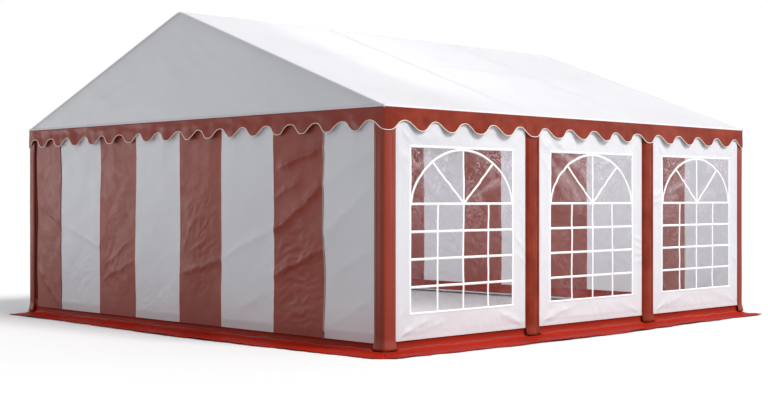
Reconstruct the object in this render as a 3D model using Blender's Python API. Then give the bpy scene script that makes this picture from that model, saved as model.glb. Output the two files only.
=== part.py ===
"""Party tent, 6 m by 6 m: a tube frame under a white roof, with red and white sheets for walls.

Metres, +Z up. The origin is on the ground, at the middle of the plan. The wall at +X and
the wall at -X have three windows each. The gables at -Y (front) and +Y (back) are
striped, and their middle panel is the door, held by two zips.
"""

import math

import bmesh
import bpy
from mathutils import Matrix, Vector

# Plan and heights, to the outer face of the wall sheets
HALF_WIDTH = 3.0
HALF_LENGTH = 3.0
EAVE = 2.163
RIDGE = 3.28
BAY = 2.0

# Sheets, thicker than the real 0.5 mm fabric, and the gap that keeps neighbours apart
FABRIC = 0.004
STRIP = 0.003
FILM = 0.002
GAP = 0.0003

# Steel tubes
MAIN_RADIUS = 0.025
POLE_RADIUS = 0.019
SLEEVE_RADIUS = 0.029
TUBE_SIDES = 12
POST_INSET = 0.038
STUB_LENGTH = 0.13
CROSS_SLEEVE = 0.16
RIDGE_SLEEVE = 0.12
POST_SLEEVE = 0.13
MID_PURLIN_X = 1.3
EAVE_POLE_DROP = 0.053
RAIL_HEIGHT = 0.026
FOOT_SIDE = 0.13
FOOT_THICKNESS = 0.006
FOOT_OUTER = 0.008

# Wall sheets: lower and upper edges
SIDE_FOOT = 0.09
GABLE_FOOT = 0.075
SHEET_TOP = EAVE - 0.0055

# Windows of the side walls: the middle along the wall and the width of each
WINDOWS = ((-1.966, 1.40), (0.035, 1.39), (2.008, 1.375))
WINDOW_SILL = 0.332
WINDOW_HEAD = 1.806
WINDOW_LAP = 0.02

# Stripes of a gable, measured from its +X corner: white first, then red by turns.
# The first and the last of these places are the zips beside the door.
STRIPE_ENDS = {
    "front": (0.79, 1.50, 2.30, 3.00, 3.79, 4.49, 5.30),
    "back": (0.79, 1.50, 2.27, 2.96, 3.735, 4.425, 5.22),
}

# Scalloped valance
VALANCE_NOTCH = 0.12
VALANCE_LOBE = 0.21
VALANCE_HEM = 0.0052
VALANCE_FLARE = 0.13
SIDE_SCALLOP = 0.397
SIDE_FIRST_NOTCH = 0.26
GABLE_SCALLOP = 0.354
GABLE_FIRST_NOTCH = 0.19
SCALLOP_STEPS = 8

# Red strips over the posts, which bulge over the round tubes and lie flat behind the valance
POST_STRIP_CENTRES = (-0.957, 1.025)
POST_STRIP_WIDTH = 0.216
POST_STRIP_BULGE = 0.018
POST_STRIP_STEPS = 4
BULGE_TOP = EAVE - VALANCE_LOBE - 0.01
BULGE_EASE = 0.10
CORNER_LEG_SIDE_FRONT = 0.136
CORNER_LEG_SIDE_BACK = 0.11
CORNER_LEG_GABLE_RIGHT = 0.126
CORNER_LEG_GABLE_LEFT = 0.11
STRIP_TOP = EAVE - 0.006
STRIP_FOOT = 0.055

# Ground skirt: its upper face, as distance out from the wall and height, from the top down.
# The band at the top hangs behind the wall sheet, and the flap lies on the ground.
SKIRT_LINE = (
    (-FABRIC - GAP, 0.160),
    (-FABRIC - GAP, 0.060),
    (0.005, 0.036),
    (0.030, 0.023),
    (0.060, 0.013),
    (0.085, STRIP),
    (0.270, STRIP),
    (0.380, STRIP),
)
SKIRT_POINTS_UNDER_STRIP = slice(2, 5)
CORNER_CUT = 0.54

SLOPE = math.atan2(RIDGE - EAVE, HALF_WIDTH)
FRAME_DEPTH = (FABRIC + GAP + SLEEVE_RADIUS) / math.cos(SLOPE)
POST_X = HALF_WIDTH - POST_INSET
POST_Y = HALF_LENGTH - POST_INSET
WALLS = ("right", "left", "front", "back")


def clear_scene():
    """Removes what the file opened with."""
    for thing in list(bpy.data.objects):
        bpy.data.objects.remove(thing, do_unlink=True)


def material(name, colour, roughness, metallic=0.0, alpha=1.0):
    """A plain shader with the part's own colour and gloss."""
    made = bpy.data.materials.new(name)
    made.use_nodes = True
    shader = made.node_tree.nodes["Principled BSDF"]
    shader.inputs["Base Color"].default_value = (*colour, 1.0)
    shader.inputs["Roughness"].default_value = roughness
    shader.inputs["Metallic"].default_value = metallic
    shader.inputs["Alpha"].default_value = alpha
    return made


def white_fabric():
    return material("white_fabric", (0.84, 0.84, 0.86), 0.45)


def red_fabric():
    return material("red_fabric", (0.38, 0.03, 0.02), 0.45)


def clear_film():
    return material("clear_film", (0.80, 0.82, 0.86), 0.12, alpha=0.35)


def galvanised_steel():
    return material("galvanised_steel", (0.62, 0.64, 0.66), 0.38, metallic=1.0)


def add_object(name, bm, materials, parent, smooth=False):
    """Turns a closed bmesh into a named object under the tent's empty."""
    bmesh.ops.recalc_face_normals(bm, faces=bm.faces)
    mesh = bpy.data.meshes.new(name)
    bm.to_mesh(mesh)
    bm.free()
    for each in materials:
        mesh.materials.append(each)
    if smooth:
        mesh.shade_smooth()
        mesh.set_sharp_from_angle(angle=math.radians(40))
    made = bpy.data.objects.new(name, mesh)
    bpy.context.scene.collection.objects.link(made)
    made.parent = parent
    return made


def add_copy(name, mesh, parent, location=(0, 0, 0), turn=0.0):
    """Places one more object that shares a mesh, turned about the vertical."""
    made = bpy.data.objects.new(name, mesh)
    bpy.context.scene.collection.objects.link(made)
    made.parent = parent
    made.location = location
    made.rotation_euler = (0.0, 0.0, turn)
    return made


def wall_point(wall, along, out, up):
    """A point by a wall: along it from its middle, out from its face, and up."""
    places = {
        "right": (HALF_WIDTH + out, along, up),
        "left": (-HALF_WIDTH - out, along, up),
        "front": (along, -HALF_LENGTH - out, up),
        "back": (along, HALF_LENGTH + out, up),
    }
    return Vector(places[wall])


def wall_half(wall):
    """Half the length of a wall."""
    return HALF_LENGTH if wall in ("right", "left") else HALF_WIDTH


def roof_height(across):
    """Height of the roof's outer face at a distance from the ridge's plane."""
    return RIDGE - abs(across) * math.tan(SLOPE)


def frame_height(across):
    """Height of the rafters' axis at a distance from the ridge's plane."""
    return roof_height(across) - FRAME_DEPTH


def eave_pole_height():
    """Height of the eave poles' axis, a little under the rafters' own."""
    return roof_height(POST_X) - EAVE_POLE_DROP


def offset_line(points, distance):
    """Moves a line sideways, with mitred joints; a positive distance moves it to its left."""
    line = [Vector(p) for p in points]
    normals = []
    for a, b in zip(line, line[1:]):
        step = (b - a).normalized()
        normals.append(Vector((-step.y, step.x)))
    moved = []
    for i, point in enumerate(line):
        before = normals[max(i - 1, 0)]
        after = normals[min(i, len(normals) - 1)]
        middle = (before + after).normalized()
        moved.append(point + middle * (distance / middle.dot(after)))
    return [tuple(p) for p in moved]


def grid_solid(name, outer, inner, materials, parent, column_slot=None):
    """A closed sheet between two grids of points, given as columns of equal length."""
    bm = bmesh.new()
    front = [[bm.verts.new(p) for p in column] for column in outer]
    back = [[bm.verts.new(p) for p in column] for column in inner]
    columns, rows = len(front), len(front[0])
    slots = column_slot or [0] * (columns - 1)
    for i in range(columns - 1):
        for j in range(rows - 1):
            for grid in (front, back):
                corners = (grid[i][j], grid[i + 1][j], grid[i + 1][j + 1], grid[i][j + 1])
                bm.faces.new(corners).material_index = slots[i]
        for j in (0, rows - 1):
            corners = (front[i][j], front[i + 1][j], back[i + 1][j], back[i][j])
            bm.faces.new(corners).material_index = slots[i]
    for i in (0, columns - 1):
        for j in range(rows - 1):
            bm.faces.new((front[i][j], front[i][j + 1], back[i][j + 1], back[i][j]))
    return add_object(name, bm, materials, parent)


def flat_sheet(name, wall, outline, holes, out, thickness, materials, parent):
    """A flat sheet along a wall, from outlines of (along, up) points; out is its outer face."""
    bm = bmesh.new()
    edges = []
    for loop in (outline, *holes):
        ring = [bm.verts.new(wall_point(wall, along, out, up)) for along, up in loop]
        edges += [bm.edges.new((a, b)) for a, b in zip(ring, ring[1:] + ring[:1])]
    bmesh.ops.triangle_fill(bm, edges=edges, use_beauty=True)
    inward = wall_point(wall, 0, -thickness, 0) - wall_point(wall, 0, 0, 0)
    pulled = bmesh.ops.extrude_face_region(bm, geom=list(bm.faces), use_keep_orig=True)
    moved = [item for item in pulled["geom"] if isinstance(item, bmesh.types.BMVert)]
    bmesh.ops.translate(bm, verts=moved, vec=inward)
    return add_object(name, bm, materials, parent)


def add_cylinder(bm, start, end, radius):
    """Adds a closed prism with round sides between two points."""
    start, end = Vector(start), Vector(end)
    run = end - start
    turn = run.to_track_quat("Z", "Y").to_matrix().to_4x4()
    place = Matrix.Translation((start + end) / 2) @ turn
    bmesh.ops.create_cone(
        bm, cap_ends=True, segments=TUBE_SIDES, radius1=radius, radius2=radius,
        depth=run.length, matrix=place,
    )


def add_block(bm, low, high):
    """Adds a closed block between two corners."""
    low, high = Vector(low), Vector(high)
    place = Matrix.Translation((low + high) / 2) @ Matrix.Diagonal((*(high - low), 1.0))
    bmesh.ops.create_cube(bm, size=1.0, matrix=place)


def combine(name, solids, cuts):
    """One mesh from solids that are joined, less the cuts; each is a function that fills a bmesh."""
    helpers = []
    for fill in (*solids, *cuts):
        bm = bmesh.new()
        fill(bm)
        mesh = bpy.data.meshes.new("helper")
        bm.to_mesh(mesh)
        bm.free()
        helper = bpy.data.objects.new("helper", mesh)
        bpy.context.scene.collection.objects.link(helper)
        helpers.append(helper)
    base = helpers[0]
    for i, helper in enumerate(helpers[1:], start=1):
        step = base.modifiers.new(f"step_{i}", "BOOLEAN")
        step.operation = "UNION" if i < len(solids) else "DIFFERENCE"
        step.object = helper
    bpy.context.view_layer.update()
    shown = base.evaluated_get(bpy.context.evaluated_depsgraph_get())
    made = bpy.data.meshes.new_from_object(shown)
    made.name = name
    for helper in helpers:
        bpy.data.objects.remove(helper, do_unlink=True)
    return made


def finish_tube_mesh(mesh, steel):
    """Gives a combined tube its material and soft round sides."""
    mesh.materials.clear()
    mesh.materials.append(steel)
    mesh.shade_smooth()
    mesh.set_sharp_from_angle(angle=math.radians(40))
    return mesh


def post_mesh(name, foot_shift, steel):
    """A post of the +X side about its own axis: foot plate, tube, and sleeves top and bottom.

    The sleeves have holes along Y for the ground rail and the eave pole. foot_shift moves the
    plate along Y, so that a corner post's plate stays inside the gable sheet.
    """
    eave_pole = eave_pole_height()
    along = Vector((-math.cos(SLOPE), 0, math.sin(SLOPE)))
    stub_start = Vector((0, 0, frame_height(POST_X)))
    stub_end = stub_start + along * STUB_LENGTH
    plate_out = POST_INSET - FOOT_OUTER
    half_foot = FOOT_SIDE / 2
    post_top = roof_height(HALF_WIDTH) - VALANCE_HEM
    reach = 2 * SLEEVE_RADIUS
    hole = POLE_RADIUS + GAP

    def foot(bm):
        add_block(
            bm,
            (plate_out - FOOT_SIDE, foot_shift - half_foot, 0),
            (plate_out, foot_shift + half_foot, FOOT_THICKNESS),
        )

    def tube(bm):
        add_cylinder(bm, (0, 0, FOOT_THICKNESS / 2), (0, 0, post_top - POST_SLEEVE / 2), MAIN_RADIUS)

    def foot_sleeve(bm):
        add_cylinder(bm, (0, 0, FOOT_THICKNESS / 2), (0, 0, POST_SLEEVE), SLEEVE_RADIUS)

    def head_sleeve(bm):
        add_cylinder(bm, (0, 0, post_top - POST_SLEEVE), (0, 0, post_top), SLEEVE_RADIUS)

    def rafter_stub(bm):
        add_cylinder(bm, stub_start, stub_end, SLEEVE_RADIUS)

    def rail_hole(bm):
        add_cylinder(bm, (0, -reach, RAIL_HEIGHT), (0, reach, RAIL_HEIGHT), hole)

    def pole_hole(bm):
        add_cylinder(bm, (0, -reach, eave_pole), (0, reach, eave_pole), hole)

    solids = (foot, tube, foot_sleeve, head_sleeve, rafter_stub)
    return finish_tube_mesh(combine(name, solids, (rail_hole, pole_hole)), steel)


def rafter_mesh(steel):
    """A rafter of the +X side from the ridge's plane, with its half of the ridge joint.

    Its sleeve at the mid purlin has a hole along Y.
    """
    along = Vector((math.cos(SLOPE), 0, -math.sin(SLOPE)))
    ridge = Vector((0, 0, frame_height(0)))
    length = POST_X / math.cos(SLOPE) - STUB_LENGTH - GAP
    purlin = MID_PURLIN_X / math.cos(SLOPE)
    reach = 2 * SLEEVE_RADIUS
    hole = POLE_RADIUS + GAP

    def tube(bm):
        add_cylinder(bm, ridge - along * reach, ridge + along * length, MAIN_RADIUS)

    def ridge_sleeve(bm):
        add_cylinder(bm, ridge - along * reach, ridge + along * RIDGE_SLEEVE, SLEEVE_RADIUS)

    def cross_sleeve(bm):
        half = CROSS_SLEEVE / 2
        add_cylinder(
            bm, ridge + along * (purlin - half), ridge + along * (purlin + half), SLEEVE_RADIUS
        )

    def past_ridge(bm):
        low = ridge - Vector((2 * reach, reach, 2 * reach))
        high = ridge + Vector((GAP / 2, reach, 2 * reach))
        add_block(bm, low, high)

    def ridge_hole(bm):
        add_cylinder(bm, ridge + Vector((0, -reach, 0)), ridge + Vector((0, reach, 0)), hole)

    def purlin_hole(bm):
        middle = ridge + along * purlin
        add_cylinder(bm, middle + Vector((0, -reach, 0)), middle + Vector((0, reach, 0)), hole)

    solids = (tube, ridge_sleeve, cross_sleeve)
    cuts = (past_ridge, ridge_hole, purlin_hole)
    return finish_tube_mesh(combine("rafter", solids, cuts), steel)


def build_posts(tent, steel):
    """Four posts a side; a corner post's plate is moved inwards along the wall."""
    shift = FOOT_SIDE / 2 - (POST_INSET - FOOT_OUTER)
    meshes = {
        "front": post_mesh("post_front", shift, steel),
        "middle": post_mesh("post_middle", 0.0, steel),
        "back": post_mesh("post_back", -shift, steel),
    }
    places = ((-POST_Y, "front"), (-BAY / 2, "middle"), (BAY / 2, "middle"), (POST_Y, "back"))
    turned = {"front": "back", "middle": "middle", "back": "front"}
    for number, (y, kind) in enumerate(places, start=1):
        add_copy(f"post_right_{number}", meshes[kind], tent, (POST_X, y, 0))
        add_copy(f"post_left_{number}", meshes[turned[kind]], tent, (-POST_X, y, 0), math.pi)


def build_rafters(tent, steel):
    """A pair of rafters at each pair of posts."""
    mesh = rafter_mesh(steel)
    for number, y in enumerate((-POST_Y, -BAY / 2, BAY / 2, POST_Y), start=1):
        add_copy(f"rafter_right_{number}", mesh, tent, (0, y, 0))
        add_copy(f"rafter_left_{number}", mesh, tent, (0, y, 0), math.pi)


def add_pole(name, start, end, tent, steel):
    """A straight pole between two points."""
    bm = bmesh.new()
    add_cylinder(bm, start, end, POLE_RADIUS)
    add_object(name, bm, (steel,), tent, smooth=True)


def build_poles(tent, steel):
    """Ridge pole, purlins and eave poles along Y, and the ground rails all round."""
    end = HALF_LENGTH - 2 * FABRIC
    ridge = frame_height(0)
    purlin = frame_height(MID_PURLIN_X)
    eave_pole = eave_pole_height()
    add_pole("ridge_pole", (0, -end, ridge), (0, end, ridge), tent, steel)
    for side, sign in (("right", 1), ("left", -1)):
        lines = (
            (f"mid_purlin_{side}", sign * MID_PURLIN_X, purlin),
            (f"eave_pole_{side}", sign * POST_X, eave_pole),
            (f"ground_rail_{side}", sign * POST_X, RAIL_HEIGHT),
        )
        for name, x, z in lines:
            add_pole(name, (x, -end, z), (x, end, z), tent, steel)
    between = POST_X - SLEEVE_RADIUS - GAP
    for name, y in (("ground_rail_front", -POST_Y), ("ground_rail_back", POST_Y)):
        add_pole(name, (-between, y, RAIL_HEIGHT), (between, y, RAIL_HEIGHT), tent, steel)


def build_roof(tent, white):
    """One sheet over the ridge, and a triangle under it at each end."""
    across = (-HALF_WIDTH, 0.0, HALF_WIDTH)
    drop = FABRIC / math.cos(SLOPE)
    ends = (-HALF_LENGTH, HALF_LENGTH)
    outer = [[(x, y, roof_height(x)) for x in across] for y in ends]
    inner = [[(x, y, roof_height(x) - drop) for x in across] for y in ends]
    grid_solid("roof_cover", outer, inner, (white,), tent)
    under = drop + GAP / math.cos(SLOPE)
    foot = SHEET_TOP + GAP
    outline = (
        (-HALF_WIDTH, foot),
        (HALF_WIDTH, foot),
        (HALF_WIDTH, roof_height(HALF_WIDTH) - under),
        (0.0, RIDGE - under),
        (-HALF_WIDTH, roof_height(HALF_WIDTH) - under),
    )
    for wall in ("front", "back"):
        flat_sheet(f"gable_triangle_{wall}", wall, outline, (), 0.0, FABRIC, (white,), tent)


def window_outline(window, lap):
    """The rectangle of a window, larger by the lap on every side."""
    centre, width = window
    half = width / 2 + lap
    sill, head = WINDOW_SILL - lap, WINDOW_HEAD + lap
    return (
        (centre - half, sill), (centre + half, sill), (centre + half, head), (centre - half, head),
    )


def build_side_walls(tent, white, film):
    """A white sheet a side, cut through for three windows that a clear film closes."""
    end = HALF_LENGTH - FABRIC - GAP
    outline = ((-end, SIDE_FOOT), (end, SIDE_FOOT), (end, SHEET_TOP), (-end, SHEET_TOP))
    for side in ("right", "left"):
        holes = [window_outline(window, 0.0) for window in WINDOWS]
        flat_sheet(f"side_wall_{side}", side, outline, holes, 0.0, FABRIC, (white,), tent)
        for number, window in enumerate(WINDOWS, start=1):
            flat_sheet(
                f"window_film_{side}_{number}", side, window_outline(window, WINDOW_LAP), (),
                -FABRIC - GAP, FILM, (film,), tent,
            )


def striped_sheet(name, wall, start, end, tent, white, red):
    """The stripes of a gable between two distances from its +X corner."""
    ends = STRIPE_ENDS[wall]
    cuts = [start] + [cut for cut in ends if start < cut < end] + [end]
    middles = [(a + b) / 2 for a, b in zip(cuts, cuts[1:])]
    slots = [sum(middle > cut for cut in ends) % 2 for middle in middles]
    heights = (SHEET_TOP, GABLE_FOOT)
    grids = []
    for out in (0.0, -FABRIC):
        places = [cuts[0] + (GAP if start > 0 else 0.0), *cuts[1:]]
        grids.append([[wall_point(wall, HALF_WIDTH - p, out, z) for z in heights] for p in places])
    grid_solid(name, *grids, (white, red), tent, slots)


def build_gables(tent, white, red):
    """Each gable has a panel by each corner, and the door between its two zips."""
    width = 2 * HALF_WIDTH
    for wall, ends in STRIPE_ENDS.items():
        striped_sheet(f"gable_panel_{wall}_right", wall, 0.0, ends[0], tent, white, red)
        striped_sheet(f"door_{wall}", wall, ends[0], ends[-1], tent, white, red)
        striped_sheet(f"gable_panel_{wall}_left", wall, ends[-1], width, tent, white, red)


def valance_depth(distance, first, pitch):
    """How far the scalloped edge hangs at a distance from the corner."""
    lobe = (1 - math.cos(2 * math.pi * (distance - first) / pitch)) / 2
    return VALANCE_NOTCH + (VALANCE_LOBE - VALANCE_NOTCH) * lobe


def build_valance(wall, tent, red):
    """A scalloped strip below the roof's edge, mitred at the corners."""
    side = wall in ("right", "left")
    first = SIDE_FIRST_NOTCH if side else GABLE_FIRST_NOTCH
    pitch = SIDE_SCALLOP if side else GABLE_SCALLOP
    half = wall_half(wall)
    step = pitch / SCALLOP_STEPS
    start = first - math.floor(first / step) * step
    count = int((2 * half - start) / step)
    distances = [0.0] + [start + step * i for i in range(count + 1)] + [2 * half]
    hem = EAVE - VALANCE_HEM
    slack = STRIP + 2 * GAP
    outer, inner = [], []
    for place, distance in enumerate(distances):
        depth = valance_depth(distance, first, pitch)
        flare = (depth - VALANCE_HEM) * VALANCE_FLARE
        foot = EAVE - depth
        rows_out = ((slack + STRIP, EAVE), (slack + STRIP, hem), (slack + STRIP, hem - GAP),
                    (slack + STRIP + flare, foot))
        rows_in = ((GAP, EAVE), (GAP, hem), (slack, hem), (slack + flare, foot))
        for rows, grid in ((rows_out, outer), (rows_in, inner)):
            column = []
            for out, z in rows:
                # side distances run from the front corner, gable ones from the +X corner
                along = distance - half if side else half - distance
                if place in (0, len(distances) - 1):
                    along = math.copysign(half + out - GAP, along)
                column.append(wall_point(wall, along, out, z))
            grid.append(column)
    grid_solid(f"valance_{wall}", outer, inner, (red,), tent)


def strip_lines():
    """The inner and outer line of a post strip, which runs down over the ground skirt."""
    heights = (STRIP_TOP, BULGE_TOP, BULGE_TOP - BULGE_EASE, STRIP_FOOT)
    inner = [(GAP, z) for z in heights]
    inner += offset_line(SKIRT_LINE, GAP)[SKIRT_POINTS_UNDER_STRIP]
    return inner, offset_line(inner, STRIP)


def strip_bulge(share, z):
    """How far a post strip stands out at a share of its half width, and at a height."""
    eased = min(max((BULGE_TOP - z) / BULGE_EASE, 0.0), 1.0)
    return POST_STRIP_BULGE * (1 - share * share) * eased


def build_post_strips(tent, red):
    """Red strips over the middle posts of the side walls."""
    half = POST_STRIP_WIDTH / 2
    shares = [2 * step / POST_STRIP_STEPS - 1 for step in range(POST_STRIP_STEPS + 1)]
    for side in ("right", "left"):
        for number, centre in enumerate(POST_STRIP_CENTRES, start=1):
            grids = []
            for line in strip_lines():
                columns = []
                for share in shares:
                    along = centre + share * half
                    column = []
                    for out, z in line:
                        column.append(wall_point(side, along, out + strip_bulge(share, z), z))
                    columns.append(column)
                grids.append(columns)
            inner, outer = grids
            grid_solid(f"post_strip_{side}_{number}", outer, inner, (red,), tent)


def build_corner_strips(tent, red):
    """Red strips that wrap the corner posts."""
    lines = strip_lines()
    side_legs = {"front": CORNER_LEG_SIDE_FRONT, "back": CORNER_LEG_SIDE_BACK}
    gable_legs = {"right": CORNER_LEG_GABLE_RIGHT, "left": CORNER_LEG_GABLE_LEFT}
    for side, x_sign in (("right", 1), ("left", -1)):
        for gable, y_sign in (("front", -1), ("back", 1)):
            grids = []
            for line in lines:
                at_gable, at_corner, at_side = [], [], []
                for out, z in line:
                    along_gable = x_sign * (HALF_WIDTH - gable_legs[side])
                    along_side = y_sign * (HALF_LENGTH - side_legs[gable])
                    corner = (x_sign * (HALF_WIDTH + out), y_sign * (HALF_LENGTH + out), z)
                    at_gable.append(wall_point(gable, along_gable, out, z))
                    at_corner.append(Vector(corner))
                    at_side.append(wall_point(side, along_side, out, z))
                grids.append([at_gable, at_corner, at_side])
            inner, outer = grids
            grid_solid(f"corner_strip_{gable}_{side}", outer, inner, (red,), tent)


def skirt_end(half, out, joined):
    """How far a skirt runs along its wall: to its neighbour's mitre, or cut back at 45 degrees.

    Only the skirts at the front right corner are joined, and the tip of their corner is cut off.
    """
    if joined:
        return half + min(out, CORNER_CUT - out) - GAP
    return half - abs(out) - GAP


def build_skirt(wall, tent, red):
    """The red band at the foot of a wall and the flap that lies out on the ground."""
    half = wall_half(wall)
    joined_end = {"right": -1, "front": 1}.get(wall)
    grids = []
    for line in (SKIRT_LINE, offset_line(SKIRT_LINE, -STRIP)):
        columns = []
        for end in (-1, 1):
            column = []
            for out, z in line:
                along = end * skirt_end(half, out, end == joined_end)
                column.append(wall_point(wall, along, out, max(z, 0.0)))
            columns.append(column)
        grids.append(columns)
    grid_solid(f"ground_skirt_{wall}", *grids, (red,), tent)


def main():
    clear_scene()
    tent = bpy.data.objects.new("party_tent", None)
    bpy.context.scene.collection.objects.link(tent)
    white, red, film, steel = white_fabric(), red_fabric(), clear_film(), galvanised_steel()
    build_posts(tent, steel)
    build_rafters(tent, steel)
    build_poles(tent, steel)
    build_roof(tent, white)
    build_side_walls(tent, white, film)
    build_gables(tent, white, red)
    for wall in WALLS:
        build_valance(wall, tent, red)
        build_skirt(wall, tent, red)
    build_post_strips(tent, red)
    build_corner_strips(tent, red)


main()
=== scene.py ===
import math

import bpy
import numpy as np
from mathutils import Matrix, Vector


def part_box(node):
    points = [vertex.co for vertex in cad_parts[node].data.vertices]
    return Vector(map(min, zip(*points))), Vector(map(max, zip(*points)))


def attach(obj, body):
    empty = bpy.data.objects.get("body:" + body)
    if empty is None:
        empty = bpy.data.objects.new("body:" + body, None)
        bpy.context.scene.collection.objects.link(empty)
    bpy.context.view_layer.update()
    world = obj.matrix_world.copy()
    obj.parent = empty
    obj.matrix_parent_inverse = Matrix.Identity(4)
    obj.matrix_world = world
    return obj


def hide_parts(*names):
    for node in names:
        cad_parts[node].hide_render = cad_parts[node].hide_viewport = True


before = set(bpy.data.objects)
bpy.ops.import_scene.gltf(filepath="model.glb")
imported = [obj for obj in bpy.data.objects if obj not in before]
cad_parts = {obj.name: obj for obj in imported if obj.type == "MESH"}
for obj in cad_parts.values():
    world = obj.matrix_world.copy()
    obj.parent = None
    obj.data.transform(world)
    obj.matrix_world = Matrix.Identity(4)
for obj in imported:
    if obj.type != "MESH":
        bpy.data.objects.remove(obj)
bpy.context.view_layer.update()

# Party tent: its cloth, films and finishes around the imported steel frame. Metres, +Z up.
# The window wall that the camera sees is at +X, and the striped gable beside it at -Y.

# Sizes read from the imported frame
HALF_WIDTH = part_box("roof_cover")[1].x
HALF_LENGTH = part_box("roof_cover")[1].y
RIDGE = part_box("roof_cover")[1].z
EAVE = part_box("valance_right")[1].z
SHEET_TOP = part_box("side_wall_right")[1].z
SIDE_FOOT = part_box("side_wall_right")[0].z
GABLE_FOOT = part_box("door_front")[0].z
SKIRT_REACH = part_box("ground_skirt_right")[1].x - HALF_WIDTH
SKIRT_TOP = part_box("ground_skirt_right")[1].z
SLOPE = math.atan2(RIDGE - EAVE, HALF_WIDTH)
ROOF_RUN = math.hypot(HALF_WIDTH, RIDGE - EAVE)
FRAME_Y = [sum(corner.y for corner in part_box(f"rafter_right_{number}")) / 2 for number in (1, 2, 3, 4)]
PURLIN_RUN = sum(corner.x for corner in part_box("mid_purlin_right")) / 2 / math.cos(SLOPE)

WALLS = ("right", "left", "front", "back")
WALL_LENGTH = {"right": 2 * HALF_LENGTH, "left": 2 * HALF_LENGTH,
               "front": 2 * HALF_WIDTH, "back": 2 * HALF_WIDTH}

# Stripes of a gable, from its +X corner: white first, then red by turns. The first and the last
# of these places are the zips beside the door.
INNER_STRIPES = {"front": (1.50, 2.30, 3.00, 3.79, 4.49), "back": (1.50, 2.27, 2.96, 3.735, 4.425)}
STRIPE_ENDS = {}
for wall, inner in INNER_STRIPES.items():
    low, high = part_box(f"door_{wall}")
    STRIPE_ENDS[wall] = (HALF_WIDTH - high.x, *inner, HALF_WIDTH - low.x)

# Strips over the posts, as spans along their wall
POST_SPANS = []
for number in (1, 2):
    low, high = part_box(f"post_strip_right_{number}")
    POST_SPANS.append((low.y + HALF_LENGTH, high.y + HALF_LENGTH))
NEAR_LEG = HALF_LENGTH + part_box("corner_strip_front_right")[1].y
FAR_LEG = HALF_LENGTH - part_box("corner_strip_back_right")[0].y
GABLE_NEAR_LEG = HALF_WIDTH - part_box("corner_strip_front_right")[0].x
GABLE_FAR_LEG = HALF_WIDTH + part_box("corner_strip_front_left")[1].x

# Windows: the sheet is cut out to the film's size less its lap, and white bars lie on the film.
# Four bars run across, the fan springs from the top one, and each kind of bar is raised a
# little more than the one it crosses.
FILM_LAP = 0.02
FILM_BACK = 0.0025
BAR_WIDTH = 0.023
BEVEL = 0.0012
BAR_ROWS = (0.558, 0.806, 1.053, 1.302)
SPRING = BAR_ROWS[-1]
FAN_REACH = 0.43005
SQUARED = 1.05
ROW_LIFT = 0.0012
UPRIGHT_LIFT = 0.0015
FAN_LIFT = 0.0018
ARCH_LIFT = 0.0021

# Valance, as in the frame: the first notch and the pitch of its scallops
VALANCE_NOTCH = 0.12
VALANCE_LOBE = 0.21
SIDE_SCALLOP = (0.24, 0.397)
GABLE_SCALLOP = (0.17, 0.354)
ROUNDED = 0.07
PIPING_RADIUS = 0.0043

# Insets of the wall sheets from the corners, and the thickness of the strips and the skirt
SHEET_INSET = 0.034
FAR_INSET = 0.075
CLOTH = 0.0012

# Grid cells of the sheets; those that the camera sees are the finer ones
CELL = {"right": 0.0145, "front": 0.0165, "left": 0.021, "back": 0.021}
FILM_CELL = {"right": 0.018, "left": 0.026}
VALANCE_CELL = 0.0125
VALANCE_ROWS = 14
PIPING_CELL = 0.010
PIPING_SIDES = 6
ROOF_GRID = (225, 211)


# Noise and folds

def noise(u, v, seed):
    """Smooth noise of about -1 to 1 with one bump for each unit of u and v."""
    angles = np.random.default_rng(seed).uniform(0, 2 * np.pi, (128, 128))
    u, v = np.broadcast_arrays(np.asarray(u, float), np.asarray(v, float))
    low_u, low_v = np.floor(u).astype(int), np.floor(v).astype(int)
    part_u, part_v = u - low_u, v - low_v
    ease_u = part_u ** 3 * (part_u * (6 * part_u - 15) + 10)
    ease_v = part_v ** 3 * (part_v * (6 * part_v - 15) + 10)

    def corner(step_u, step_v):
        angle = angles[(low_u + step_u) % 128, (low_v + step_v) % 128]
        return np.cos(angle) * (part_u - step_u) + np.sin(angle) * (part_v - step_v)

    near = corner(0, 0) * (1 - ease_u) + corner(1, 0) * ease_u
    far = corner(0, 1) * (1 - ease_u) + corner(1, 1) * ease_u
    return 1.5 * (near * (1 - ease_v) + far * ease_v)


def ease(value, low, high):
    """0 below low, 1 above high, and a smooth step between them."""
    part = np.clip((value - low) / (high - low), 0, 1)
    return part * part * (3 - 2 * part)


def beyond(value, low, high):
    """How far a value lies outside a span; 0 inside it."""
    return np.maximum(np.maximum(low - value, value - high), 0.0)


def depth_in(value, low, high):
    """How far a value lies inside a span; negative outside it."""
    return np.minimum(value - low, high - value)


def fold(s, z, start, end, height, width, seed):
    """A creased ridge between two points of a sheet, which fades out at its ends."""
    run_s, run_z = end[0] - start[0], end[1] - start[1]
    length = math.hypot(run_s, run_z)
    along = ((s - start[0]) * run_s + (z - start[1]) * run_z) / length
    across = ((s - start[0]) * run_z - (z - start[1]) * run_s) / length
    across += 0.5 * width * noise(along / (4 * width), seed * 0.37, seed)
    fade = ease(along, -0.1 * length, 0.25 * length) * (1 - ease(along, 0.75 * length, 1.1 * length))
    sharp = np.sqrt((across / width) ** 2 + 0.02)
    return height * np.exp(-sharp) * fade * (1 + 0.35 * noise(along / width / 2, 7.7, seed))


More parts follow.
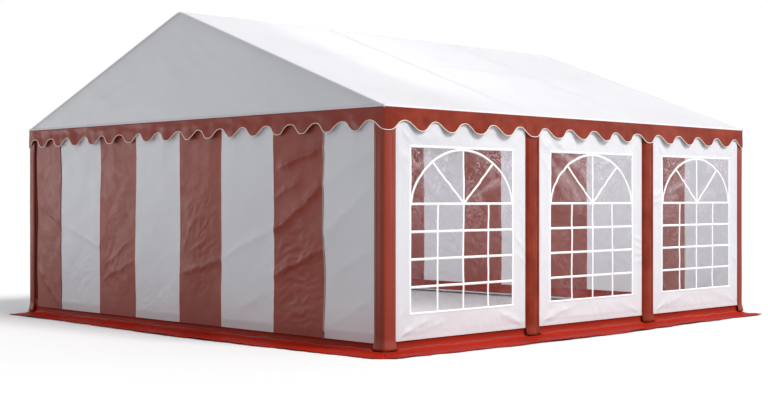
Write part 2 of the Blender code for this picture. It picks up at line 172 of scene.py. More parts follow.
def crumple(s, z, centre, spread, turn, height, size, seed):
    """A patch of short parallel creases at an angle."""
    away_s, away_z = s - centre[0], z - centre[1]
    patch = np.exp(-((away_s / spread[0]) ** 2 + (away_z / spread[1]) ** 2))
    along = away_s * math.cos(turn) + away_z * math.sin(turn)
    across = away_z * math.cos(turn) - away_s * math.sin(turn)
    along, across = along / size[0], across / size[1]
    bent = across + 0.6 * noise(along, across / 2, seed + 5)
    return height * patch * (0.6 - 1.6 * np.abs(noise(along, bent, seed)) ** 0.8)


def summed(shape, s, z, table, seed):
    """The sum of the folds or crumples in a table, each with a seed of its own."""
    return sum(shape(s, z, *row, seed + number) for number, row in enumerate(table))


def pull(s, z, corner, heading, fan, count, length, height):
    """Creases that spread from a corner where the sheet is tied."""
    away_s, away_z = s - corner[0], z - corner[1]
    far = np.hypot(away_s, away_z)
    angle = np.arctan2(away_z, away_s) - heading
    angle = (angle + np.pi) % (2 * np.pi) - np.pi
    within = np.exp(-(angle / fan) ** 2)
    rise = (far / (0.25 * length)) * np.exp(1 - far / (0.25 * length))
    return height * within * rise * np.cos(count * angle / fan)


# Folds that the photograph shows on the striped gable: start, end, height and width
GABLE_FOLDS = (
    ((2.95, 0.58), (2.30, 0.75), 0.018, 0.040),
    ((2.32, 0.76), (1.50, 1.06), 0.018, 0.055),
    ((1.52, 1.03), (1.20, 1.21), 0.034, 0.036),
    ((1.24, 1.18), (0.76, 1.49), 0.036, 0.036),
    ((1.42, 1.64), (0.76, 1.83), 0.034, 0.032),
    ((1.50, 0.62), (0.76, 0.91), 0.028, 0.036),
    ((1.50, 1.36), (1.10, 1.52), 0.016, 0.030),
    ((0.80, 1.00), (0.10, 1.48), 0.018, 0.070),
    ((0.80, 1.49), (0.10, 1.80), 0.014, 0.070),
    ((0.80, 0.12), (0.12, 0.46), 0.015, 0.060),
    ((0.68, 0.66), (0.12, 0.90), 0.011, 0.060),
    ((5.76, 1.28), (5.28, 1.06), 0.013, 0.032),
    ((5.24, 1.04), (4.47, 0.81), 0.012, 0.036),
    ((4.44, 0.46), (3.80, 0.69), 0.011, 0.036),
    ((4.40, 0.60), (3.82, 0.96), 0.007, 0.032),
    ((5.78, 0.52), (5.32, 0.10), 0.018, 0.028),
    ((2.20, 0.20), (1.55, 0.46), 0.012, 0.060),
    ((2.94, 0.80), (2.80, 1.12), 0.007, 0.030),
    ((2.84, 1.04), (2.62, 1.20), 0.007, 0.028),
    ((2.92, 1.24), (2.70, 1.36), 0.007, 0.028),
    ((2.82, 0.80), (2.52, 0.97), 0.007, 0.028),
)
GABLE_CRUMPLES = (
    ((1.15, 0.74), (0.32, 0.36), 2.75, 0.0110, (0.24, 0.080)),
    ((1.15, 0.35), (0.30, 0.22), 2.95, 0.0070, (0.22, 0.075)),
    ((2.65, 1.10), (0.26, 0.42), 2.35, 0.0052, (0.18, 0.070)),
    ((2.70, 0.62), (0.26, 0.22), 2.60, 0.0052, (0.16, 0.060)),
    ((4.15, 0.90), (0.28, 0.45), 2.50, 0.0032, (0.18, 0.065)),
    ((4.15, 0.50), (0.28, 0.20), 2.20, 0.0036, (0.16, 0.060)),
    ((5.55, 0.90), (0.22, 0.45), 0.60, 0.0036, (0.20, 0.070)),
    ((3.40, 0.30), (0.30, 0.22), 2.60, 0.0032, (0.20, 0.070)),
    ((4.90, 0.50), (0.35, 0.30), 2.60, 0.0030, (0.20, 0.070)),
)


def gable_swell(s, z, seed, mirrored=False):
    """How far a gable sheet stands out from its plane."""
    length = 2 * HALF_WIDTH
    hold = ease(SHEET_TOP - z, 0.02, 0.40) * ease(s, GABLE_NEAR_LEG, 0.50)
    hold = hold * ease(length - s, GABLE_FAR_LEG, 0.50)
    low_hold = 0.35 + 0.65 * ease(z, GABLE_FOOT, 0.45)
    swell = 0.018 * noise(s / 1.3 + 0.3, z / 1.1, seed)
    swell += 0.007 * noise((s + 0.6 * z) / 0.55, (z - 0.5 * s) / 0.9, seed + 1)
    swell += 0.0028 * noise((s + z) / 0.22, (z - s) / 0.45, seed + 2)
    hang = 0.0045 * noise(s / 0.16, z / 1.4, seed + 3) * ease(z, 1.2, 1.9)
    total = swell * hold * low_hold + hang * ease(SHEET_TOP - z, 0.0, 0.25)
    seen = length - s if mirrored else s
    total += summed(fold, seen, z, GABLE_FOLDS, seed) * low_hold
    total += summed(crumple, seen, z, GABLE_CRUMPLES, seed + 40)
    free = ease(s, GABLE_NEAR_LEG - 0.01, GABLE_NEAR_LEG + 0.05)
    free = free * ease(length - s, GABLE_FAR_LEG - 0.01, GABLE_FAR_LEG + 0.05)
    return above_band(total * free * ease(SHEET_TOP - z, 0.0, 0.06), z)


def above_band(out, z):
    """Keeps the foot of a sheet in front of the red band behind it."""
    limit = -0.0025 - 0.04 * ease(z, SKIRT_TOP + 0.01, SKIRT_TOP + 0.20)
    return np.maximum(out, limit)


# Folds on the window wall
SIDE_FOLDS = (
    ((0.16, 1.80), (0.80, 1.27), 0.012, 0.036),
    ((0.18, 1.70), (0.60, 1.20), 0.009, 0.030),
    ((2.18, 1.94), (2.95, 1.28), 0.020, 0.030),
    ((2.26, 2.00), (3.05, 1.56), 0.013, 0.030),
    ((2.18, 1.78), (2.62, 1.30), 0.011, 0.026),
    ((4.08, 1.36), (4.85, 1.56), 0.016, 0.026),
    ((4.08, 1.30), (4.55, 1.36), 0.009, 0.022),
    ((3.50, 1.02), (3.98, 0.88), 0.010, 0.020),
    ((3.50, 0.93), (3.98, 0.80), 0.010, 0.020),
    ((3.56, 0.80), (3.98, 0.74), 0.009, 0.020),
    ((3.56, 0.64), (3.98, 0.70), 0.009, 0.020),
    ((1.58, 1.16), (1.98, 0.80), 0.011, 0.028),
    ((1.64, 0.92), (1.98, 0.68), 0.008, 0.024),
    ((5.60, 0.80), (5.92, 0.58), 0.008, 0.025),
    ((0.14, 0.24), (0.42, 0.54), 0.009, 0.028),
    ((0.16, 0.12), (0.66, 0.29), 0.010, 0.032),
    ((0.30, 0.12), (0.80, 0.24), 0.007, 0.026),
    ((2.20, 0.13), (2.75, 0.28), 0.009, 0.032),
    ((4.18, 0.13), (4.72, 0.27), 0.009, 0.028),
    ((1.96, 0.13), (1.50, 0.27), 0.009, 0.030),
)
SIDE_CRUMPLES = (
    ((0.45, 1.72), (0.40, 0.28), 2.45, 0.0040, (0.16, 0.055)),
    ((0.50, 0.22), (0.40, 0.10), 0.45, 0.0035, (0.14, 0.050)),
    ((2.55, 1.75), (0.35, 0.28), 2.40, 0.0040, (0.16, 0.055)),
    ((1.70, 0.24), (0.30, 0.10), 2.60, 0.0030, (0.14, 0.050)),
    ((1.85, 1.10), (0.12, 0.40), 2.30, 0.0035, (0.12, 0.050)),
    ((3.85, 0.85), (0.12, 0.30), 2.85, 0.0035, (0.12, 0.045)),
)


def tie_distance(s):
    """How far a place on a window wall is from the nearest strip; 0 under a strip."""
    edges = ((-1.0, NEAR_LEG), *POST_SPANS, (2 * HALF_LENGTH - FAR_LEG, 99.0))
    return np.min([beyond(s, low, high) for low, high in edges], axis=0)


def border_distance(s, z, side):
    """How far a place on a window wall is from the nearest edge of an opening."""
    away = []
    for low, high, sill, head in (window_edges(side, number) for number in (1, 2, 3)):
        inside = np.minimum(depth_in(s, low, high), depth_in(z, sill, head))
        outside = np.hypot(beyond(s, low, high), beyond(z, sill, head))
        away.append(np.where(inside > 0, inside, outside))
    return np.min(away, axis=0)


# Creases that run from the ties at the corners of a bay: which end of the bay, height of the tie,
# heading, number of creases, length and height of the creases
TIES = (
    (0, 2.05, -0.80, 5, 1.1, 0.0045), (1, 2.05, -2.30, 4, 0.8, 0.0030),
    (0, 0.10, 0.45, 4, 0.8, 0.0030), (1, 0.10, 2.70, 4, 0.8, 0.0030),
)
TIE_FAN = 0.35


def side_swell(s, z, seed, mirrored=False):
    """How far the sheet and the films of a window wall stand out from their plane."""
    away = tie_distance(s)
    hold = ease(SHEET_TOP - z, 0.02, 0.30)
    hold = hold * ease(away, 0.0, 0.28) * (0.3 + 0.7 * ease(z, SIDE_FOOT, 0.40))
    total = 0.012 * noise(s / 0.9, z / 1.0, seed) * hold
    total += 0.005 * noise((s - z) / 0.30, (z + s) / 0.50, seed + 1) * hold
    total += 0.0022 * noise((s + z) / 0.12, (z - s) / 0.20, seed + 2) * ease(away, 0, 0.1)
    beside_strip = np.exp(-((away - 0.035) / 0.022) ** 2)
    total += 0.007 * beside_strip * (0.7 + noise(z / 0.4, s / 2, seed + 3))
    bays = zip((NEAR_LEG, POST_SPANS[0][1], POST_SPANS[1][1]),
               (POST_SPANS[0][0], POST_SPANS[1][0], 2 * HALF_LENGTH - FAR_LEG))
    for bay in bays:
        for end, tie, heading, count, length, height in TIES:
            total += pull(s, z, (bay[end], tie), heading, TIE_FAN, count, length, height)
    seen = 2 * HALF_LENGTH - s if mirrored else s
    total += summed(fold, seen, z, SIDE_FOLDS, seed)
    total += summed(crumple, seen, z, SIDE_CRUMPLES, seed + 40)
    border = border_distance(s, z, "left" if mirrored else "right")
    total = total * (0.3 + 0.7 * ease(border, 0.02, 0.12))
    return above_band(total * ease(away, -0.003, 0.02) * ease(SHEET_TOP - z, 0.0, 0.06), z)


# Meshes from grids of points

def on_wall(wall, s, out, z):
    """Points by a wall: s along it from its +X or -Y corner, out from its face, and up."""
    s, out, z = np.broadcast_arrays(s, out, z)
    if wall == "right":
        x, y = HALF_WIDTH + out, s - HALF_LENGTH
    elif wall == "left":
        x, y = -HALF_WIDTH - out, s - HALF_LENGTH
    elif wall == "front":
        x, y = HALF_WIDTH - s, -HALF_LENGTH - out
    else:
        x, y = HALF_WIDTH - s, HALF_LENGTH + out
    return np.stack([x, y, z], axis=-1)


def faces_in(wall):
    """Whether a grid that runs along s and up has its faces turned inwards on this wall."""
    return wall in ("left", "front")


def mesh_piece(name, verts, quads, finishes, finish_of=None, metres=None, caps=()):
    """A mesh object that rides on the tent's one body; caps are further faces of any size."""
    mesh = bpy.data.meshes.new(name)
    verts = np.asarray(verts, np.float32).reshape(-1, 3)
    rings = [np.array(cap, np.int32) for cap in caps]
    loops = np.concatenate([np.asarray(quads, np.int32).ravel(), *rings])
    sizes = np.concatenate([np.full(len(quads), 4), [len(cap) for cap in caps]]).astype(np.int32)
    mesh.vertices.add(len(verts))
    mesh.vertices.foreach_set("co", verts.ravel())
    mesh.loops.add(len(loops))
    mesh.loops.foreach_set("vertex_index", loops)
    mesh.polygons.add(len(sizes))
    starts = np.concatenate([[0], np.cumsum(sizes)[:-1]]).astype(np.int32)
    mesh.polygons.foreach_set("loop_start", starts)
    for finish in finishes:
        mesh.materials.append(finish)
    if finish_of is not None:
        mesh.polygons.foreach_set("material_index", np.asarray(finish_of, np.int32))
    if metres is not None:
        layer = mesh.uv_layers.new(name="metres")
        layer.data.foreach_set("uv", np.asarray(metres, np.float32)[loops].ravel())
    mesh.update(calc_edges=True)
    mesh.validate()
    mesh.shade_smooth()
    made = bpy.data.objects.new(name, mesh)
    bpy.context.scene.collection.objects.link(made)
    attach(made, "root")
    return made


def grid_of(first, second):
    """Two grids from two runs of places, as columns of rows."""
    return np.meshgrid(first, second, indexing="ij")


def grid_quads(index, flip=False):
    """The four corners of each cell of a grid of vertex numbers."""
    corners = [index[:-1, :-1], index[1:, :-1], index[1:, 1:], index[:-1, 1:]]
    return np.stack(corners[::-1] if flip else corners, axis=-1)


def grid_piece(name, points, metres, finishes, flip=False, column_finish=None, row_finish=None,
               keep=None):
    """A sheet from a grid of points, as columns of rows; keep says which cells it has."""
    columns, rows = points.shape[:2]
    faces = grid_quads(np.arange(columns * rows).reshape(columns, rows), flip)
    finish_of = np.zeros(faces.shape[:2], int)
    if column_finish is not None:
        finish_of += np.asarray(column_finish)[:, None]
    if row_finish is not None:
        finish_of += np.asarray(row_finish)[None, :]
    if keep is None:
        keep = np.ones(faces.shape[:2], bool)
    faces, finish_of = faces[keep], finish_of[keep]
    used, faces = np.unique(faces, return_inverse=True)
    verts = points.reshape(-1, 3)[used]
    flat = np.stack(np.broadcast_arrays(*metres), axis=-1).reshape(-1, 2)[used]
    return mesh_piece(name, verts, faces.reshape(-1, 4), finishes, finish_of, flat)


def cloth_piece(node, slot, points, metres, finishes, name=None, thickness=0.0, **cells):
    """A sheet that takes the place of a soft solid; a small one has its two sides and its edge."""
    cloth = grid_piece(name or f"{node}_cloth", points, metres, finishes, **cells)
    if thickness > 0:
        solid = cloth.modifiers.new("thickness", "SOLIDIFY")
        solid.thickness = thickness
        solid.offset = -1.0
    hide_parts(node)
    return cloth


def tube_piece(name, path, radius, sides, finish):
    """A tube along a path, closed at both ends."""
    heading = np.gradient(path, axis=0)
    heading /= np.linalg.norm(heading, axis=1)[:, None]
    side = np.cross(heading, (0.0, 0.0, 1.0))
    side /= np.linalg.norm(side, axis=1)[:, None]
    over = np.cross(side, heading)
    turns = 2 * np.pi * np.arange(sides) / sides
    part_side, part_over = np.cos(turns)[None, :, None], np.sin(turns)[None, :, None]
    rings = path[:, None, :] + radius * (part_side * side[:, None, :] + part_over * over[:, None, :])
    count = len(path)
    index = np.arange(count * sides).reshape(count, sides)
    index = np.concatenate([index, index[:, :1]], axis=1)
    quads = grid_quads(index.T).reshape(-1, 4)
    caps = (list(range(sides))[::-1], list(range((count - 1) * sides, count * sides)))
    run = np.concatenate([[0], np.cumsum(np.linalg.norm(np.diff(path, axis=0), axis=1))])
    flat = np.stack(np.broadcast_arrays(run[:, None], turns[None, :] * radius), axis=-1).reshape(-1, 2)
    return mesh_piece(name, rings, quads, (finish,), metres=flat, caps=caps)


def steps(start, end, cell):
    """Even places from start to end, about a cell apart."""
    return np.linspace(start, end, max(2, round((end - start) / cell) + 1))


def joined_steps(places, cell):
    """Even places through a list of places, each of which is kept."""
    runs = [steps(a, b, cell)[:-1] for a, b in zip(places, places[1:])]
    return np.concatenate([*runs, [places[-1]]])


# Materials

def new_material(name):
    made = bpy.data.materials.new(name)
    made.use_nodes = True
    tree = made.node_tree
    return made, tree, tree.nodes["Principled BSDF"], tree.nodes["Material Output"]


def wire(tree, node, values):
    """Links or sets sockets of a node, by name or number."""
    for socket, value in values.items():
        if isinstance(value, bpy.types.NodeSocket):
            tree.links.new(value, node.inputs[socket])
        else:
            node.inputs[socket].default_value = value


def add(tree, kind, values=(), **settings):
    """A node, with its sockets linked or set."""
    node = tree.nodes.new(f"ShaderNode{kind}")
    for key, value in settings.items():
        setattr(node, key, value)
    wire(tree, node, dict(values))
    return node


def reckon(tree, operation, *values):
    """The result of a sum or product in a node tree."""
    return add(tree, "Math", dict(enumerate(values)), operation=operation).outputs[0]


def rescale(tree, value, span=(0.0, 1.0), to=(0.0, 1.0)):
    """A value moved from one span to another, and held inside it."""
    ends = {"Value": value, "From Min": span[0], "From Max": span[1], "To Min": to[0], "To Max": to[1]}
    return add(tree, "MapRange", ends).outputs["Result"]


def cloud_field(tree, place, scale, detail, roughness=0.5, distortion=0.0):
    return add(tree, "TexNoise", {"Vector": place, "Scale": scale, "Detail": detail,
               "Roughness": roughness, "Distortion": distortion}).outputs["Fac"]


def raised(tree, height, distance, strength=1.0, **under):
    """A bump normal; under may give the normal that it is laid over."""
    values = {"Height": height, "Strength": strength, "Distance": distance, **under}
    return add(tree, "Bump", values).outputs["Normal"]


def blend(tree, share, first, second):
    """A mix of two shader nodes."""
    values = {"Fac": share, 1: first.outputs[0], 2: second.outputs[0]}
    return add(tree, "MixShader", values)


def object_place(tree):
    return add(tree, "TexCoord").outputs["Object"]


def flat_place(tree):
    """The two distances over a sheet laid flat, in metres."""
    metres = add(tree, "UVMap", uv_map="metres")
    parts = add(tree, "SeparateXYZ", {0: metres.outputs["UV"]})
    return parts.outputs["X"], parts.outputs["Y"]


def waves(tree, distance, pitch):
    return reckon(tree, "SINE", reckon(tree, "MULTIPLY", distance, 2 * math.pi / pitch))


THREAD_PITCH = 0.0024
THREAD_HEIGHT = 0.00006
ZIP_PITCH = 0.006


def fabric(name, colour, shift, through, rough=0.44, crinkle=0.0012, gloss=0.5, sheen=0.06,
           cloud_scale=1.3):
    """Coated woven polyester: a fine weave, soft crinkles, sheen, and some light through it."""
    made, tree, shader, output = new_material(name)
    place = object_place(tree)
    warp, weft = (waves(tree, distance, THREAD_PITCH) for distance in flat_place(tree))
    woven = reckon(tree, "MULTIPLY", warp, weft)
    soft = cloud_field(tree, place, 7.0, 4.0, 0.55, 0.9)
    cloud = rescale(tree, cloud_field(tree, place, cloud_scale, 3.0), (0.32, 0.68))
    shaded = [part * change for part, change in zip(colour, shift)]
    tint = add(tree, "Mix", {0: cloud, 6: (*colour, 1), 7: (*shaded, 1)}, data_type="RGBA").outputs[2]
    normal = raised(tree, woven, THREAD_HEIGHT, Normal=raised(tree, soft, crinkle))
    wire(tree, shader, {
        "Base Color": tint, "Normal": normal,
        "Roughness": rescale(tree, soft, (0.3, 0.7), (rough - 0.06, rough + 0.08)),
        "Sheen Weight": sheen, "Sheen Roughness": 0.4, "Specular IOR Level": gloss,
    })
    if through > 0:
        glow = add(tree, "BsdfTranslucent", {"Color": tint, "Normal": normal})
        wire(tree, output, {"Surface": blend(tree, through, shader, glow).outputs[0]})
    return made


def painted_glint_strokes(tree, place, turn):
    """Short pale strokes at an angle across the film: painted glints that stand for light caught in its
    creases.
    """
    turned = add(tree, "VectorRotate", {"Vector": place, "Angle": turn}, rotation_type="X_AXIS")
    drawn = add(tree, "VectorMath", {0: turned.outputs["Vector"], 1: (1.0, 9.0, 24.0)},
                operation="MULTIPLY")
    field = cloud_field(tree, drawn.outputs["Vector"], 1.0, 2.0, 0.6, 0.6)
    away = reckon(tree, "ABSOLUTE", reckon(tree, "SUBTRACT", field, 0.5))
    return rescale(tree, away, (0.0, 0.032), (1.0, 0.0))


def film_material():
    """Clear soft film: glossy, a little hazy and finely crinkled, with painted glints as pale strokes
    and bands along its creases.
    """
    made, tree, shader, output = new_material("clear_film_finish")
    place = object_place(tree)
    normal = raised(tree, cloud_field(tree, place, 11.0, 4.0, 0.55, 1.8), 0.010)
    wire(tree, shader, {"Base Color": (0.64, 0.53, 0.58, 1), "Roughness": 0.25, "Normal": normal})
    clear = add(tree, "BsdfTransparent", {"Color": (0.965, 0.945, 0.965, 1)})
    height = add(tree, "SeparateXYZ", {0: place}).outputs["Z"]
    upper = rescale(tree, height, (0.9, 1.7), (0.25, 1.0))
    patches = rescale(tree, cloud_field(tree, place, 3.2, 1.0), (0.40, 0.52))
    # Painted glints: pale strokes in cloudy patches, stronger towards the top, and pale bands along the
    # folds, which make the film hazier there
    strokes = reckon(tree, "MAXIMUM", *(painted_glint_strokes(tree, place, turn) for turn in (-0.7, 0.9)))
    strokes = reckon(tree, "MULTIPLY", reckon(tree, "MULTIPLY", strokes, patches), upper)
    painted_glint = add(tree, "Attribute", attribute_name="painted_glint").outputs["Fac"]
    haze_and_glint = rescale(tree, reckon(tree, "MAXIMUM", strokes, painted_glint), to=(0.012, 0.52))
    hazy = blend(tree, haze_and_glint, clear, shader)
    mirror = add(tree, "BsdfGlossy", {"Color": (1, 1, 1, 1), "Roughness": 0.18, "Normal": normal})
    angle = add(tree, "Fresnel", {"IOR": 1.31, "Normal": normal}).outputs["Fac"]
    wire(tree, output, {"Surface": blend(tree, angle, hazy, mirror).outputs[0]})
    return made


def steel_material(name, dark, light):
    """Galvanised steel: dull zinc with faint spangles between a dark and a light tone."""
    made, tree, shader, _ = new_material(name)
    place = object_place(tree)
    spangle = add(tree, "TexVoronoi", {"Vector": place, "Scale": 90.0}).outputs["Color"]
    cloud = cloud_field(tree, place, 12.0, 4.0)
    tone = add(tree, "ValToRGB", {"Fac": spangle})
    for element, colour in zip(tone.color_ramp.elements, (dark, light)):
        element.color = (*colour, 1)
    wire(tree, shader, {
        "Base Color": tone.outputs["Color"], "Metallic": 1.0,
        "Roughness": rescale(tree, cloud, to=(0.32, 0.52)),
        "Normal": raised(tree, cloud, 0.0004, 0.4),
    })
    return made


def zip_material(name, colour):
    """Moulded zip teeth, across a seam that runs up the wall."""
    made, tree, shader, _ = new_material(name)
    teeth = waves(tree, flat_place(tree)[1], ZIP_PITCH)
    wire(tree, shader, {"Base Color": (*colour, 1), "Roughness": 0.4,
                        "Normal": raised(tree, teeth, 0.0008)})
    return made


WHITE = fabric("white_fabric_finish", (0.735, 0.73, 0.77), (0.965, 0.965, 0.97), 0.20)
# A lighter copy of the white fabric for the roof: painted light on its sunlit top
ROOF_WHITE_PAINTED_LIGHT = fabric("roof_painted_light_finish", (0.765, 0.757, 0.79), (0.975, 0.975, 0.975), 0.20)
RED = fabric("red_fabric_finish", (0.285, 0.038, 0.019), (0.88, 0.84, 0.84), 0.06)
RED_COVER = fabric("red_cover_finish", (0.27, 0.030, 0.013), (0.86, 0.82, 0.82), 0.05, rough=0.36,
                   crinkle=0.0022, gloss=0.36, sheen=0.0)
# A darker, duller copy of the cover red for the window walls' valances and post strips: painted shade
# that tones down their sunlit side; its cloudy blotches are larger and darker
RED_DEEP_PAINTED_SHADE = fabric("deep_red_painted_shade_finish", (0.245, 0.031, 0.013), (0.70, 0.48, 0.40), 0.05, rough=0.40,
                  crinkle=0.0036, gloss=0.13, sheen=0.0, cloud_scale=4.5)
# The skirt's band rows: a matte red, darker than the flap's, as painted shade where the band is recessed
# under the wall sheet
RED_BAND_PAINTED_SHADE = fabric("red_band_painted_shade_finish", (0.30, 0.016, 0.006), (0.84, 0.90, 0.90), 0.0, rough=0.5,
                  crinkle=0.0020, gloss=0.08, sheen=0.0)
RED_FLAP = fabric("red_flap_finish", (0.36, 0.013, 0.004), (0.84, 0.90, 0.90), 0.0, rough=0.55,
                  crinkle=0.0018, gloss=0.05, sheen=0.0)
CREAM = fabric("cream_edging_finish", (0.84, 0.70, 0.63), (0.94, 0.92, 0.90), 0.0, rough=0.5)
BAR_WHITE = fabric("bar_finish", (0.90, 0.90, 0.91), (0.98, 0.98, 0.98), 0.05, rough=0.35,
                   crinkle=0.0004)
FILM = film_material()
STEEL = steel_material("galvanised_steel_finish", (0.50, 0.52, 0.54), (0.68, 0.70, 0.72))
SLIDER = steel_material("slider_finish", (0.14, 0.10, 0.10), (0.20, 0.15, 0.15))
ZIP = zip_material("zip_finish", (0.09, 0.015, 0.012))
ZIP_PALE = zip_material("pale_zip_finish", (0.46, 0.42, 0.40))


# The roof and the triangles under its ends

EAVE_ROLL = ((0.0028, 0.0006), (0.0040, 0.0022), (0.0042, 0.0042))
EDGE_ROLL = ((0.0035, 0.0015), (0.0060, 0.0060), (0.0065, 0.0130), (0.0065, 0.0200))
CREST = 0.03
UPPER_SAG = 0.014
LOWER_SAG = 0.022
ROOF_SEED = 11


def roof_sag(run, y):
    """How far the roof hangs below its plane between the rafters and the purlins."""
    deep = np.zeros(np.broadcast(run, y).shape)
    spans = ((0.0, PURLIN_RUN, UPPER_SAG), (PURLIN_RUN, ROOF_RUN - 0.04, LOWER_SAG))
    for low, high in zip(FRAME_Y, FRAME_Y[1:]):
        for top, foot, depth in spans:
            across = np.clip((y - low) / (high - low), 0, 1)
            down = np.clip((np.abs(run) - top) / (foot - top), 0, 1)
            deep += depth * np.sin(np.pi * across) ** 1.3 * np.sin(np.pi * down) ** 1.3
    soft = 0.005 * noise(run / 0.8, y / 0.5, ROOF_SEED)
    soft += 0.003 * noise(run / 0.45, y / 0.20, ROOF_SEED + 1)
    inside = ease(ROOF_RUN - np.abs(run), 0.0, 0.3) * ease(HALF_LENGTH - np.abs(y), 0.0, 0.3)
    return deep + soft * inside


def roof_points(run, y):
    """Points of the roof, with a soft crest over the ridge pole."""
    softened = np.sqrt(run ** 2 + CREST ** 2)
    drop = (softened - CREST) * math.sin(SLOPE)
    sag = roof_sag(run, y)
    side = run / softened
    x = run * math.cos(SLOPE) - sag * math.sin(SLOPE) * side
    z = RIDGE - drop - sag * math.cos(SLOPE)
    return x, y + 0 * x, z


def build_roof():
    """One sheet over the ridge, which turns down at the eaves and over the gables."""
    run = np.linspace(-ROOF_RUN, ROOF_RUN, ROOF_GRID[0])
    y = np.linspace(-HALF_LENGTH, HALF_LENGTH, ROOF_GRID[1])
    flat_run, flat_y = grid_of(run, y)
    x, y_points, z = roof_points(flat_run, flat_y)
    for out, drop in EAVE_ROLL:
        x = np.concatenate([x[:1] * 0 - HALF_WIDTH - out, x, x[:1] * 0 + HALF_WIDTH + out])
        z = np.concatenate([z[:1] * 0 + EAVE - drop, z, z[-1:] * 0 + EAVE - drop])
        y_points = np.concatenate([y_points[:1], y_points, y_points[-1:]])
        flat_run = np.concatenate([flat_run[:1] - drop, flat_run, flat_run[-1:] + drop])
        flat_y = np.concatenate([flat_y[:1], flat_y, flat_y[-1:]])
    near_top, far_top = z[:, :1], z[:, -1:]
    for out, drop in EDGE_ROLL:
        x = np.concatenate([x[:, :1], x, x[:, -1:]], axis=1)
        z = np.concatenate([near_top - drop, z, far_top - drop], axis=1)
        near_y = near_top * 0 - HALF_LENGTH - out
        y_points = np.concatenate([near_y, y_points, -near_y], axis=1)
        flat_run = np.concatenate([flat_run[:, :1], flat_run, flat_run[:, -1:]], axis=1)
        flat_y = np.concatenate([flat_y[:, :1] - drop, flat_y, flat_y[:, -1:] + drop], axis=1)
    points = np.stack([x, y_points, z], axis=-1)
    # The roof takes the lighter copy of the white, as painted light
    roof = cloth_piece("roof_cover", "white_fabric", points, (flat_y, flat_run), (ROOF_WHITE_PAINTED_LIGHT,),
                       name="roof_cloth")


TRIANGLE_ROWS = 45
HEM_LINE = ((0.001, 0.018), (0.0035, 0.016), (0.0062, 0.009), (0.0072, 0.000), (0.0074, -0.005))
TRIANGLE_FOLDS = (
    ((3.05, 2.92), (2.60, 2.62), 0.010, 0.045), ((3.35, 2.85), (2.95, 2.58), 0.008, 0.045),
    ((3.30, 2.72), (2.90, 2.48), 0.007, 0.040), ((2.80, 2.95), (2.35, 2.70), 0.007, 0.045),
    ((2.20, 2.60), (1.20, 2.36), 0.006, 0.070), ((4.60, 2.40), (3.80, 2.62), 0.006, 0.060),
)


def build_triangle(wall, seed):
    """The white triangle between the valance and the roof, with a hem along its foot."""
    s = steps(0.0, 2 * HALF_WIDTH, 0.025)
    share = np.linspace(0, 1, TRIANGLE_ROWS)
    foot = EAVE - 0.004
    head = RIDGE - np.abs(HALF_WIDTH - s) * math.tan(SLOPE) - 0.006
    s_grid, share_grid = grid_of(s, share)
    z = foot + np.maximum(head - foot, 0.001)[:, None] * share_grid
    room = ease(z, foot, foot + 0.25) * ease(head[:, None] - z, 0.0, 0.25)
    out = 0.012 * noise(s_grid / 0.9, z / 0.7, seed) * room
    out += 0.004 * noise((s_grid + z) / 0.3, (z - s_grid) / 0.6, seed + 1) * room
    out += summed(fold, s_grid, z, TRIANGLE_FOLDS, seed) * room
    cloth = cloth_piece(f"gable_triangle_{wall}", "white_fabric", on_wall(wall, s_grid, out, z),
                        (s_grid, z), (WHITE,), flip=faces_in(wall))
    ends = steps(-0.0065, 2 * HALF_WIDTH + 0.0065, 0.05)
    out, rise = (np.array(values)[None, ::-1] for values in zip(*HEM_LINE))
    hem = grid_piece(f"gable_hem_{wall}", on_wall(wall, ends[:, None], out, EAVE + rise),
                     (ends[:, None], rise), (WHITE,), flip=faces_in(wall))


# The striped gables

SEAM = 0.009
GUTTER = 0.045
GUTTER_EDGE = 0.155


def stripe_layout(wall, start, end):
    """Places across the stripes between two distances, and the finish of each column."""
    ends = STRIPE_ENDS[wall]
    cuts = [start] + [cut for cut in ends if start < cut < end] + [end]
    places = [start]
    finish = []
    for low, high in zip(cuts, cuts[1:]):
        red = sum((low + high) / 2 > cut for cut in ends) % 2
        marks = [low, high]
        if not red:
            marks = [low, low + SEAM, high - SEAM, high]
            if low < 0.1:
                marks.pop(1)
        for first, last in zip(marks, marks[1:]):
            run = steps(first, last, CELL[wall])[1:]
            seam = abs(last - first - SEAM) < 1e-6
            places += list(run)
            finish += [2 if seam else red] * len(run)
    return np.array(places), finish


def gable_sheet(name, slot, wall, start, end, swell):
    """One sheet of a gable; the sheet at the far corner turns in beside the post."""
    s, finish = stripe_layout(wall, start, end)
    z = steps(GABLE_FOOT, SHEET_TOP, CELL[wall])
    s_grid, z_grid = grid_of(s, z)
    out = swell(s_grid, z_grid)
    seam_near = np.min([np.abs(s - cut) for cut in STRIPE_ENDS[wall]], axis=0)
    out += 0.0012 * (seam_near <= SEAM + 1e-6)[:, None]
    if end > 2 * HALF_WIDTH - GUTTER_EDGE:
        edge = 2 * HALF_WIDTH - GUTTER_EDGE + 0.020 * noise(z_grid / 0.42, 0.3, 77)
        turned = ease(s_grid, edge - 0.018, edge + 0.020)
        risen = ease(s_grid, 2 * HALF_WIDTH - 0.115, end)
        out = out * (1 - turned) - GUTTER * turned + (GUTTER - 0.012) * risen
    return cloth_piece(name, slot, on_wall(wall, s_grid, out, z_grid), (s_grid, z_grid),
                       (WHITE, RED, CREAM), flip=faces_in(wall), column_finish=finish)


# Across a zip: place and height of the edge of its tape, and of its coil
ZIP_PROFILE = ((-0.012, 0.0014), (-0.0055, 0.0020), (-0.004, 0.0044), (0.0, 0.0054), (0.004, 0.0044),
               (0.0055, 0.0020), (0.012, 0.0014))


